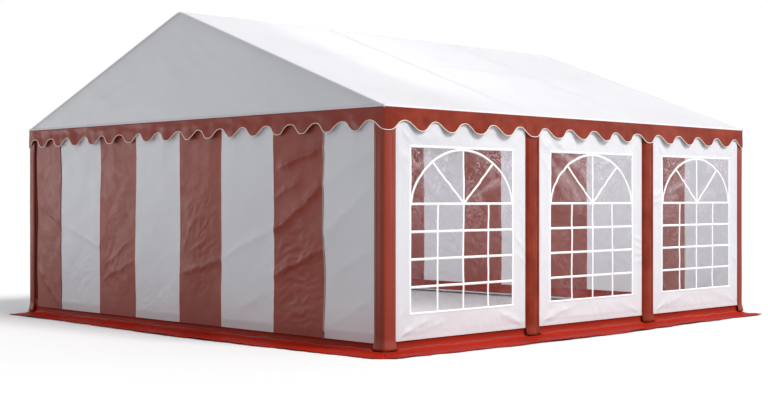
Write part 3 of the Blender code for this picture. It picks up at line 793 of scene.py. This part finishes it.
def build_zip(wall, number, place, swell, coil):
    """A zip between two sheets: its coil, tape and slider."""
    z = steps(GABLE_FOOT - 0.004, SHEET_TOP - 0.06, 0.02)
    across, lift = np.array(ZIP_PROFILE).T
    out = swell(place + 0 * z, z)[None, :] + lift[:, None]
    s_grid, z_grid = grid_of(place + across, z)
    tape = grid_piece(f"zip_{wall}_{number}", on_wall(wall, s_grid, out, z_grid), (s_grid, z_grid),
                      (RED, coil), flip=faces_in(wall), column_finish=[0, 1, 1, 1, 1, 0])
    foot = z[2]
    slider = build_slider(f"zip_slider_{wall}_{number}", wall, place, float(swell(place, foot)), foot)
    return [tape, slider]


SLIDER_BODY = ((-0.006, 0.0), (0.006, 0.0), (0.007, 0.018), (0.004, 0.026), (-0.004, 0.026),
               (-0.007, 0.018))
SLIDER_TAB = ((-0.005, -0.040), (0.005, -0.040), (0.0055, -0.006), (0.003, 0.004), (-0.003, 0.004),
              (-0.0055, -0.006))


def build_slider(name, wall, place, out, z):
    """A zip's slider with its pull tab."""
    verts, quads, caps = [], [], []
    for shape, low, high in ((SLIDER_BODY, 0.002, 0.009), (SLIDER_TAB, 0.009, 0.012)):
        base, count = len(verts), len(shape)
        for depth in (low, high):
            verts += [on_wall(wall, place + a, out + depth, z + b) for a, b in shape]
        caps.append([base + i for i in reversed(range(count))])
        caps.append([base + count + i for i in range(count)])
        for i in range(count):
            j = (i + 1) % count
            quads.append([base + i, base + j, base + count + j, base + count + i])
    if not faces_in(wall):
        quads = [quad[::-1] for quad in quads]
        caps = [cap[::-1] for cap in caps]
    slider = mesh_piece(name, np.array(verts), quads, (SLIDER,), caps=caps)
    slider.data.shade_flat()
    return slider


def build_gable(wall, seed):
    """The two corner panels and the door, with a zip on each side of the door."""
    def swell(s, z):
        return gable_swell(s, z, seed, mirrored=(wall == "back"))

    first, last = STRIPE_ENDS[wall][0], STRIPE_ENDS[wall][-1]
    end = 2 * HALF_WIDTH - FAR_INSET
    right = gable_sheet(f"gable_panel_{wall}_right", "white_fabric", wall, SHEET_INSET, first, swell)
    door = gable_sheet(f"door_{wall}", "striped_fabric", wall, first, last, swell)
    left = gable_sheet(f"gable_panel_{wall}_left", "red_fabric", wall, last, end, swell)
    zips = build_zip(wall, 1, first, swell, ZIP_PALE) + build_zip(wall, 2, last, swell, ZIP)


# The window walls

def window_edges(side, number):
    """Start, end, sill and head of a window's opening."""
    low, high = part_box(f"window_film_{side}_{number}")
    start, end = low.y + HALF_LENGTH + FILM_LAP, high.y + HALF_LENGTH - FILM_LAP
    return start, end, low.z + FILM_LAP, high.z - FILM_LAP


def build_side_sheet(side, swell):
    """The white sheet of a window wall, cut out for its windows."""
    windows = [window_edges(side, number) for number in (1, 2, 3)]
    start, end = SHEET_INSET, 2 * HALF_LENGTH - SHEET_INSET
    marks = [start] + [place for window in windows for place in window[:2]] + [end]
    s = joined_steps(marks, CELL[side])
    z = joined_steps([SIDE_FOOT, windows[0][2], windows[0][3], SHEET_TOP], CELL[side])
    s_grid, z_grid = grid_of(s, z)
    hem = 0.0018 * (1 - ease(z_grid, SIDE_FOOT + 0.022, SIDE_FOOT + 0.036))
    points = on_wall(side, s_grid, swell(s_grid, z_grid) + hem, z_grid)
    middle_s, middle_z = (s[:-1] + s[1:]) / 2, (z[:-1] + z[1:]) / 2
    keep = np.ones((len(middle_s), len(middle_z)), bool)
    for low, high, sill, head in windows:
        inside_s = (middle_s > low) & (middle_s < high)
        inside_z = (middle_z > sill) & (middle_z < head)
        keep &= ~(inside_s[:, None] & inside_z[None, :])
    cloth = cloth_piece(f"side_wall_{side}", "white_fabric", points, (s_grid, z_grid), (WHITE,),
                        flip=faces_in(side), keep=keep)
    return windows


def film_swell(s, z, window, swell, seed):
    """How far a film stands out: it follows the sheet, with small crinkles of its own."""
    low, high, sill, head = window
    inset = np.minimum(depth_in(s, low, high), depth_in(z, sill, head))
    own = 0.0045 * noise((s + 0.5 * z) / 0.15, (z - 0.5 * s) / 0.10, seed)
    own += 0.0040 * (0.6 - 1.6 * np.abs(noise(s / 0.12, z / 0.10, seed + 1)) ** 0.8)
    upper = 0.35 + ease(z, 0.8, 1.6)
    quarters = low + (high - low) * np.array([0.25, 0.5, 0.75])
    from_bars = [np.abs(z - row) for row in BAR_ROWS] + [np.abs(s - place) for place in quarters]
    near_bar = np.min(from_bars, axis=0)
    rise = head - SPRING
    arch = np.hypot((s - quarters[1]) / (high - low) * 2, (z - SPRING) / rise)
    near_bar = np.minimum(near_bar, np.where(z > SPRING, rise * np.abs(arch - 1), 1.0))
    upper = upper * (0.2 + 0.8 * ease(near_bar, 0.01, 0.06))
    return swell(s, z) - FILM_BACK + own * upper * ease(inset, 0.0, 0.12)


def ribbon(path, width, height, place):
    """Points of a flat raised bar along a path of (s, z), with its sides; place finds its base."""
    path = np.array(path, float)
    heading = np.gradient(path, axis=0)
    heading /= np.linalg.norm(heading, axis=1)[:, None]
    normal = np.stack([-heading[:, 1], heading[:, 0]], axis=-1)
    half = width / 2
    shape = ((-half, 0.0), (-half + BEVEL, height), (half - BEVEL, height), (half, 0.0))
    columns = []
    for offset, lift in shape:
        moved = path + normal * offset
        columns.append(place(moved[:, 0], moved[:, 1], lift))
    return np.stack(columns, axis=1)


def straight(start, end, cell=0.02):
    count = max(2, round(math.dist(start, end) / cell) + 1)
    return np.linspace(start, end, count)


def window_bars(window):
    """Centre lines of a window's bars, each with how far it is raised."""
    low, high, sill, head = window
    middle, half = (low + high) / 2, (high - low) / 2
    edge = BAR_WIDTH / 2
    bars = [(straight((low, row), (high, row)), ROW_LIFT) for row in BAR_ROWS]
    bars.append((straight((middle, sill), (middle, head)), UPRIGHT_LIFT))
    for place in (middle - half / 2, middle + half / 2):
        bars.append((straight((place, sill), (place, SPRING)), UPRIGHT_LIFT))
    rise, reach = head - SPRING - edge * 0.6, half - edge * 0.3
    angles = np.linspace(0, np.pi, 80)
    across = np.sign(np.cos(angles)) * np.abs(np.cos(angles)) ** SQUARED
    arch = np.stack([middle - reach * across, SPRING + rise * np.sin(angles) ** SQUARED], axis=-1)
    bars.append((arch, ARCH_LIFT))
    top = SPRING + rise * (1 - (FAN_REACH / reach) ** (2 / SQUARED)) ** (SQUARED / 2)
    for sign in (-1, 1):
        bars.append((straight((middle, SPRING), (middle + sign * FAN_REACH, top)), FAN_LIFT))
    return bars


def window_border(window):
    """Centre lines of the band round a window, on the sheet's own edge."""
    low, high, sill, head = window
    edge = BAR_WIDTH / 2
    return [
        straight((low - BAR_WIDTH, sill - edge), (high + BAR_WIDTH, sill - edge)),
        straight((low - BAR_WIDTH, head + edge), (high + BAR_WIDTH, head + edge)),
        straight((low - edge, sill), (low - edge, head)),
        straight((high + edge, sill), (high + edge, head)),
    ]


# Pale bands of painted glint along folds of the films: start, end, strength and width
PAINTED_GLINT_BANDS = (
    ((2.32, 1.76), (2.66, 1.40), 0.80, 0.022), ((2.42, 1.86), (3.02, 1.55), 1.10, 0.026),
    ((2.42, 1.69), (2.88, 1.28), 1.00, 0.034), ((4.32, 1.39), (4.80, 1.55), 0.95, 0.022),
    ((4.34, 1.34), (4.64, 1.39), 0.60, 0.020), ((0.34, 1.60), (0.64, 1.78), 0.60, 0.018),
    ((1.16, 1.36), (1.56, 1.54), 0.60, 0.018), ((2.90, 1.29), (3.35, 1.19), 0.35, 0.030),
)


def build_window(side, number, window, swell, seed):
    """A clear film behind its opening, with white bars on it."""
    low, high, sill, head = window
    s = steps(low - FILM_LAP, high + FILM_LAP, FILM_CELL[side])
    z = steps(sill - FILM_LAP, head + FILM_LAP, FILM_CELL[side])
    s_grid, z_grid = grid_of(s, z)
    points = on_wall(side, s_grid, film_swell(s_grid, z_grid, window, swell, seed), z_grid)
    name = f"window_film_{side}_{number}"
    film = cloth_piece(name, "clear_film", points, (s_grid, z_grid), (FILM,), name=f"{name}_clear",
                       flip=faces_in(side))
    seen = s_grid if side == "right" else 2 * HALF_LENGTH - s_grid
    # Painted glint along the folds, kept in a point attribute that the film's finish reads
    bands = [fold(seen, z_grid, *band, seed + place) for place, band in enumerate(PAINTED_GLINT_BANDS)]
    painted_glint = np.max(bands, axis=0)
    layer = film.data.attributes.new("painted_glint", "FLOAT", "POINT")
    layer.data.foreach_set("value", np.clip(painted_glint, 0, 1).astype(np.float32).ravel())

    def on_film(s, z, lift):
        return on_wall(side, s, film_swell(s, z, window, swell, seed) + lift, z)

    def on_sheet(s, z, lift):
        return on_wall(side, s, swell(s, z) + lift, z)

    runs = [ribbon(path, BAR_WIDTH, lift, on_film) for path, lift in window_bars(window)]
    for place, path in enumerate(window_border(window)):
        runs.append(ribbon(path, BAR_WIDTH, 0.0014 + 0.0003 * (place < 2), on_sheet))
    verts, quads, flats = [], [], []
    count = 0
    for run in runs:
        length, across = run.shape[:2]
        index = count + np.arange(length * across).reshape(length, across)
        quads.append(grid_quads(index.T).reshape(-1, 4))
        verts.append(run.reshape(-1, 3))
        flats.append(run.reshape(-1, 3)[:, 1:])
        count += length * across
    quads = np.concatenate(quads)
    if side == "right":
        quads = quads[:, ::-1]
    bars = mesh_piece(f"window_bars_{side}_{number}", np.concatenate(verts), quads, (BAR_WHITE,),
                      metres=np.concatenate(flats))


def build_side(side, seed):
    def swell(s, z):
        return side_swell(s, z, seed, mirrored=(side == "left"))

    windows = build_side_sheet(side, swell)
    for number, window in enumerate(windows, start=1):
        build_window(side, number, window, swell, seed + 100 * number)


# The scalloped valance

def scallops(wall):
    """The first notch and the pitch of a wall's scallops, and the last notch's distance from the end."""
    first, pitch = SIDE_SCALLOP if wall in ("right", "left") else GABLE_SCALLOP
    left_over = (WALL_LENGTH[wall] - first) % pitch
    return first, pitch, left_over


def corner_neighbour(wall, far):
    """The distance from the corner to the nearest notch on the wall round that corner."""
    if wall in ("right", "left"):
        other = scallops("back" if far else "front")
        return other[0] if wall == "right" else other[2]
    other = scallops("left" if far else "right")
    return other[0] if wall == "front" else other[2]


def valance_depth(s, wall):
    """How far the scalloped edge hangs; one lobe wraps each corner."""
    first, pitch, left_over = scallops(wall)
    from_end = WALL_LENGTH[wall] - s
    phase = (s - first) / pitch
    near_pitch = first + corner_neighbour(wall, False)
    far_pitch = left_over + corner_neighbour(wall, True)
    phase = np.where(s < first, (first - s) / near_pitch, phase)
    phase = np.where(from_end < left_over, (left_over - from_end) / far_pitch, phase)
    angle = 2 * np.pi * phase
    wave = 0.5 - 0.5 * (np.cos(angle) - ROUNDED * np.cos(3 * angle)) / (1 - ROUNDED)
    return VALANCE_NOTCH + (VALANCE_LOBE - VALANCE_NOTCH) * wave ** 0.92


def valance_out(s, drop, wall, seed):
    """How far the valance stands out at a distance below the eave."""
    free = ease(np.minimum(s, WALL_LENGTH[wall] - s), 0.0, 0.16)
    share = drop / VALANCE_LOBE
    ripple = 0.014 * noise(s / 0.26, share * 0.4, seed)
    ripple += 0.013 * noise(s / 0.12 + 0.5 * share, share * 0.7, seed + 1)
    buckle = 0.013 * noise(s / 0.20, share * 1.9, seed + 2) * ease(share, 0.03, 0.30)
    hang = 0.0048 + (0.003 + 0.029 * free) * share ** 1.15
    hang += (ripple * share ** 1.2 + buckle * (1 - 0.5 * share)) * free
    over_post = np.zeros_like(s)
    if wall in ("right", "left"):
        away = np.min([beyond(s, low, high) for low, high in POST_SPANS], axis=0)
        over_post = 1 - ease(away, 0.0, 0.05)
    return np.maximum(hang, 0.0046 + (0.003 + 0.006 * free + 0.020 * over_post) * share)


def corner_mitre(s, out, wall):
    """Moves the ends of a strip out to the mitre with its neighbour."""
    near = 1 - ease(s, 0.0, 0.03)
    far = 1 - ease(WALL_LENGTH[wall] - s, 0.0, 0.03)
    return s - out * near + out * far


def build_valance(wall, seed):
    """A red strip under the eave, with piping sewn along its scallops."""
    length = WALL_LENGTH[wall]
    s = steps(0.0, length, VALANCE_CELL)
    share = np.linspace(0, 1, VALANCE_ROWS)
    s_grid, share_grid = grid_of(s, share)
    drop = 0.0035 + (valance_depth(s_grid, wall) - 0.0035) * share_grid
    out = valance_out(s_grid, drop, wall, seed)
    points = on_wall(wall, corner_mitre(s_grid, out, wall), out, EAVE - drop)
    # The window walls take the darker copy of the red, as painted shade on their sunlit side
    finish = RED_DEEP_PAINTED_SHADE if wall in ("right", "left") else RED_COVER
    cloth = cloth_piece(f"valance_{wall}", "red_fabric", points, (s_grid, -drop), (finish,),
                        thickness=CLOTH, flip=not faces_in(wall))
    fine = steps(0.0, length, PIPING_CELL)
    edge_drop = valance_depth(fine, wall)
    edge_out = valance_out(fine, edge_drop, wall, seed)
    edge = on_wall(wall, corner_mitre(fine, edge_out, wall), edge_out, EAVE - edge_drop)
    piping = tube_piece(f"piping_{wall}", edge, PIPING_RADIUS, PIPING_SIDES, CREAM)


# The ground skirt and the strips over the posts

# Distance out and height of the skirt's line, from the band behind the wall sheet to the ground
SKIRT_LINE = (
    (-0.0050, SKIRT_TOP), (-0.0060, 0.096), (-0.0130, 0.070), (-0.0140, 0.044), (-0.0080, 0.022),
    (0.0040, 0.012), (0.0160, 0.014), (0.0260, 0.025), (0.0350, 0.033), (0.0450, 0.033),
    (0.0540, 0.025), (0.0600, 0.012), (0.0720, 0.006), (0.1000, 0.004), (0.1400, 0.003),
    (0.2000, 0.003), (0.2700, 0.003), (0.3300, 0.003), (SKIRT_REACH - 0.008, 0.003),
)
# Rows of the skirt by distance out: the band rows take the darker matte red as painted shade, the ridge
# rows the glossier cover finish to catch a highlight, and the rest the flap's red
RIDGE_SPAN = (0.012, 0.054)
SKIRT_ROWS = 40
SKIRT_COLUMNS = {"right": 300, "front": 300, "left": 180, "back": 180}
CORNER_BAND = 0.14
CORNER_CUT = 0.60
FLAP_START = 0.09
BOW = 0.11


def line_points(line, count):
    """A smooth run of points along a line of (out, z), closer together over its first part."""
    line = np.array(line, float)
    run = np.concatenate([[0], np.cumsum(np.linalg.norm(np.diff(line, axis=0), axis=1))])
    even = run[-1] * np.linspace(0, 1, count) ** 1.25
    out, z = np.interp(even, run, line[:, 0]), np.interp(even, run, line[:, 1])
    out[1:-1] = (out[:-2] + 2 * out[1:-1] + out[2:]) / 4
    z[1:-1] = (z[:-2] + 2 * z[1:-1] + z[2:]) / 4
    return out, z, even


def post_distance(s, wall):
    """How far a place along a wall is from the nearest strip over a post."""
    away = [np.maximum(depth_in(s, CORNER_BAND, WALL_LENGTH[wall] - CORNER_BAND), 0.0)]
    if wall in ("right", "left"):
        away += [beyond(s, low, high) for low, high in POST_SPANS]
    return np.min(away, axis=0)


def build_skirt(wall, seed):
    """The red band behind the foot of a wall sheet, and the flap that lies out on the ground."""
    length = WALL_LENGTH[wall]
    joined_near = wall in ("right", "front")
    out, z, run = line_points(SKIRT_LINE, SKIRT_ROWS)
    share_grid, out_grid = grid_of(np.linspace(0, 1, SKIRT_COLUMNS[wall]), out)
    z_grid = np.broadcast_to(z, share_grid.shape)
    run_grid = np.broadcast_to(run, share_grid.shape)
    s_even = share_grid * length
    flap = ease(out_grid, FLAP_START, SKIRT_REACH)
    ragged = 0.020 * noise(s_even / 0.40, 0.2, seed)
    ragged += 0.014 * noise(s_even / 0.11, 0.6, seed + 1)
    bow = BOW * np.sin(np.pi * share_grid) * ease(length - s_even, 0.3, 3.6)
    out_moved = out_grid + (ragged + bow) * flap
    from_post = post_distance(s_even, wall)
    roll = ease(out_grid, 0.016, 0.03) * (1 - ease(out_grid, 0.06, 0.10)) * ease(from_post, 0, 0.2)
    shift = 0.010 * noise(s_even / 0.5, 0.9, seed + 6) * roll
    z_moved = z_grid + 0.012 * noise(s_even / 0.34, out_grid / 0.2, seed + 2) * roll
    z_moved += 0.006 * noise(s_even / 0.12, out_grid / 0.05, seed + 7) * roll
    crest = ease(out_grid, 0.012, 0.026) * (1 - ease(out_grid, 0.050, 0.064))
    z_moved -= 0.021 * crest * (1 - ease(from_post, 0, 0.04))
    lift = np.maximum(noise(s_even / 0.34, out_grid / 0.3, seed + 3), 0) * 0.012
    lift += np.abs(noise(s_even / 0.13, out_grid / 0.15, seed + 4)) * 0.005
    z_moved += lift * ease(out_grid, 0.10, 0.22)
    curl = np.maximum(0.35 + noise(s_even / 0.45, 0.5, seed + 5), 0.1)
    z_moved = np.maximum(z_moved + 0.012 * flap ** 3 * curl, 0.0018)
    out_moved += shift
    low_end = np.abs(out_moved)
    if joined_near:
        low_end = -np.minimum(out_moved, CORNER_CUT - out_moved)
    high_end = length - np.minimum(np.abs(out_moved), 0.06 + 0.3 * np.abs(out_moved))
    s_moved = low_end + share_grid * (high_end - low_end)
    points = on_wall(wall, s_moved, out_moved, z_moved)
    # The band rows get the darker red of painted shade, the ridge rows the glossier cover finish
    row_finish = sum((out[:-1] > place).astype(int) for place in RIDGE_SPAN)
    cloth = cloth_piece(f"ground_skirt_{wall}", "red_fabric", points, (s_even, run_grid),
                        (RED_BAND_PAINTED_SHADE, RED_COVER, RED_FLAP), thickness=CLOTH, flip=not faces_in(wall),
                        row_finish=row_finish)


STRIP_HEAD = EAVE - 0.030
STRIP_FOOT = 0.015
STRIP_KICK = 0.020
STRIP_ROWS = 104


def strip_line():
    """Distance out and height down the middle of a strip, which ends inside the skirt's ridge."""
    z = np.linspace(STRIP_HEAD, STRIP_FOOT, STRIP_ROWS)
    return 0.0012 + STRIP_KICK * (1 - ease(z, STRIP_FOOT - 0.01, 0.12)), z


def build_post_strip(side, number, seed):
    """A strip that bulges over a middle post, with a pressed fold beside it."""
    low, high = POST_SPANS[number - 1]
    share = np.linspace(-1, 1, 41)
    out, z = strip_line()
    share_grid, out_grid = grid_of(share, out)
    z_grid = np.broadcast_to(z, share_grid.shape)
    under = ease(STRIP_HEAD - z_grid, 0.0, 0.22)
    sway = 0.05 * noise(z_grid / 0.6, 0.7, seed + 2)
    across = (share_grid + 0.16 + sway) / 0.74
    bulge = 0.024 * np.sqrt(np.clip(1 - across ** 2, 0, 1))
    fold_line = 0.78 + 0.04 * noise(z_grid / 0.4, 0.2, seed + 3)
    bulge += 0.007 * np.exp(-((share_grid - fold_line) / 0.085) ** 2)
    bulge += 0.0035 * noise(share_grid * 2.2, z_grid / 0.45, seed) * (np.abs(share_grid) < 0.9)
    below = ease(EAVE - z_grid, 0.21, 0.30)
    behind_valance = 0.0005 + 0.115 * (EAVE - z_grid - 0.02) + 0.1 * under * below
    bulge = np.clip(bulge, 0.0006, behind_valance)
    narrow = 1 - 0.06 * (1 - ease(z_grid, 0.0, 0.10))
    s_grid = (low + high) / 2 + share_grid * (high - low) / 2 * narrow
    points = on_wall(side, s_grid, out_grid + bulge + 0.0012, z_grid)
    # The post strip takes the darker copy of the red, as painted shade on the sunlit window wall
    cloth = cloth_piece(f"post_strip_{side}_{number}", "red_fabric", points, (s_grid, z_grid),
                        (RED_DEEP_PAINTED_SHADE,), thickness=CLOTH, flip=not faces_in(side))


CORNER_RADIUS = 0.012


def build_corner_strip(gable, side, seed):
    """A strip that wraps a corner post, round over the post's own curve."""
    low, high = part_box(f"corner_strip_{gable}_{side}")
    x_leg = HALF_WIDTH - (low.x if side == "right" else -high.x)
    y_leg = HALF_LENGTH - (low.y if gable == "back" else -high.y)
    turn = np.linspace(0, np.pi / 2, 9)[1:-1]
    gable_run = np.linspace(x_leg, CORNER_RADIUS, 14)
    side_run = np.linspace(CORNER_RADIUS, y_leg, 15)
    in_x = np.concatenate([gable_run, CORNER_RADIUS * (1 - np.sin(turn)), 0 * side_run])
    in_y = np.concatenate([0 * gable_run, CORNER_RADIUS * (1 - np.cos(turn)), side_run])
    out_x = np.concatenate([0 * gable_run, np.sin(turn), 1 + 0 * side_run])
    out_y = np.concatenate([1 + 0 * gable_run, np.cos(turn), 0 * side_run])
    across = np.concatenate([[0], np.cumsum(np.hypot(np.diff(in_x), np.diff(in_y)))])
    share = np.concatenate([gable_run / x_leg, 0 * turn, side_run / y_leg])
    out, z = strip_line()
    shape = (len(in_x), len(z))
    in_x, in_y, out_x, out_y, across, share = (
        np.broadcast_to(values[:, None], shape) for values in (in_x, in_y, out_x, out_y, across, share))
    z_grid = np.broadcast_to(z, shape)
    under = ease(EAVE - z_grid, 0.16, 0.32)
    puff = 0.006 * np.clip(1 - ((share - 0.42) / 0.42) ** 2, 0, 1) * under
    pressed = 0.005 * np.exp(-((share - 0.80) / 0.07) ** 2) * under
    wave = 0.0026 * noise(across / 0.09, z_grid / 0.55, seed) * (share < 0.92) * under
    stand = out[None, :] + 0.0022 + np.maximum(puff + pressed + wave, -0.0008)
    x_sign, y_sign = (1 if side == "right" else -1), (1 if gable == "back" else -1)
    x = x_sign * (HALF_WIDTH - in_x + stand * out_x)
    y = y_sign * (HALF_LENGTH - in_y + stand * out_y)
    cloth = cloth_piece(f"corner_strip_{gable}_{side}", "red_fabric", np.stack([x, y, z_grid], axis=-1),
                        (across, z_grid), (RED_COVER,), thickness=CLOTH, flip=(x_sign * y_sign < 0))


# Studio: floor, light and camera

LENS_MM = 62.34
SENSOR_MM = 36.0
EYE = (11.233, -11.185, 1.351)
EYE_TURN = (math.radians(90 - 0.064), 0.0, math.radians(45.19))
BACKDROP = 1.0
SKY = 0.65
SUN = 3.12
SUN_FROM = Vector((1.0, 0.22, 0.95))
SUN_WIDTH = math.radians(20)
FLOOR_REACH = 400.0
FADE = (6.0, 22.0)

# Softboxes: place, aim, width and height, strength
SOFTBOXES = {
    "inside_fill": ((0.2, -2.3, 1.45), (-0.6, 3.0, 1.1), (3.0, 1.2), 32.0),
    "gable_side": ((-11.5, -8.5, 2.2), (-1.5, -3.0, 1.3), (5.0, 3.5), 8.0),
    "film_glint": ((11.5, 11.0, 4.5), (3.0, 0.0, 1.3), (1.6, 4.0), 30.0),
}


def build_floor():
    """A plain pale floor that fades into the backdrop far from the tent."""
    mesh = bpy.data.meshes.new("floor")
    corners = [(x * FLOOR_REACH, y * FLOOR_REACH, 0) for x, y in ((-1, -1), (1, -1), (1, 1), (-1, 1))]
    mesh.from_pydata(corners, [], [(0, 1, 2, 3)])
    floor = bpy.data.objects.new("floor", mesh)
    floor.location.z = -0.002
    bpy.context.scene.collection.objects.link(floor)
    made, tree, shader, output = new_material("floor_finish")
    path = add(tree, "LightPath").outputs["Is Camera Ray"]
    tones = {0: path, 6: (0.31, 0.34, 0.33, 1), 7: (0.78, 0.78, 0.78, 1)}
    seen = add(tree, "Mix", tones, data_type="RGBA").outputs[2]
    wire(tree, shader, {"Base Color": seen, "Roughness": 0.9, "Specular IOR Level": 0.1})
    far = add(tree, "VectorMath", {0: object_place(tree)}, operation="LENGTH").outputs["Value"]
    share = add(tree, "MapRange", {"Value": far, "From Min": FADE[0], "From Max": FADE[1]},
                interpolation_type="SMOOTHSTEP").outputs["Result"]
    glow = add(tree, "Emission", {"Color": (1, 1, 1, 1), "Strength": BACKDROP})
    wire(tree, output, {"Surface": blend(tree, share, shader, glow).outputs[0]})
    mesh.materials.append(made)


def add_softbox(name, place, aim, size, strength):
    """A soft rectangular lamp that the camera doesn't see."""
    lamp = bpy.data.lights.new(name, "AREA")
    lamp.shape = "RECTANGLE"
    lamp.size, lamp.size_y = size
    lamp.energy = strength * size[0] * size[1]
    made = bpy.data.objects.new(name, lamp)
    made.location = place
    made.rotation_euler = (Vector(place) - Vector(aim)).to_track_quat("Z", "Y").to_euler()
    made.visible_camera = False
    bpy.context.scene.collection.objects.link(made)


def build_light():
    """An even pale sky, a soft sun from the window wall's side, and softboxes."""
    scene = bpy.context.scene
    world = bpy.data.worlds.new("studio")
    scene.world = world
    world.use_nodes = True
    tree = world.node_tree
    tree.nodes.clear()
    path = add(tree, "LightPath").outputs["Is Camera Ray"]
    sky = add(tree, "Background", {"Color": (0.97, 0.98, 1.0, 1), "Strength": SKY})
    backdrop = add(tree, "Background", {"Color": (1, 1, 1, 1), "Strength": BACKDROP})
    add(tree, "OutputWorld", {"Surface": blend(tree, path, sky, backdrop).outputs[0]})
    lamp = bpy.data.lights.new("sun", "SUN")
    lamp.energy = SUN
    lamp.angle = SUN_WIDTH
    lamp.color = (1.0, 0.985, 0.965)
    sun = bpy.data.objects.new("sun", lamp)
    sun.rotation_euler = SUN_FROM.to_track_quat("Z", "Y").to_euler()
    scene.collection.objects.link(sun)
    for name, (place, aim, size, strength) in SOFTBOXES.items():
        add_softbox(name, place, aim, size, strength)
    scene.view_settings.view_transform = "Standard"


def build_camera():
    data = bpy.data.cameras.new("camera")
    data.lens = LENS_MM
    data.sensor_width = SENSOR_MM
    data.clip_end = 500.0
    camera = bpy.data.objects.new("camera", data)
    camera.location = EYE
    camera.rotation_euler = EYE_TURN
    bpy.context.scene.collection.objects.link(camera)
    bpy.context.scene.camera = camera


def finish_steel():
    """Gives the tubes that stay from the frame their zinc finish."""
    tubes = ("post_right", "post_left", "rafter", "ridge", "mid_purlin", "eave_pole", "ground_rail")
    for name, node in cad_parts.items():
        if name.startswith(tubes):
            node.data.materials.clear()
            node.data.materials.append(STEEL)


build_camera()
build_light()
build_floor()
finish_steel()
build_roof()
for place, wall in enumerate(("front", "back")):
    build_triangle(wall, 30 + 10 * place)
    build_gable(wall, 200 + 300 * place)
for place, side in enumerate(("right", "left")):
    build_side(side, 900 + 1000 * place)
    for number in (1, 2):
        build_post_strip(side, number, 60 + 10 * place + number)
    for gable in ("front", "back"):
        build_corner_strip(gable, side, 80 + 10 * place + len(gable))
for place, wall in enumerate(WALLS):
    build_valance(wall, 3000 + 20 * place)
    build_skirt(wall, 4000 + 20 * place)
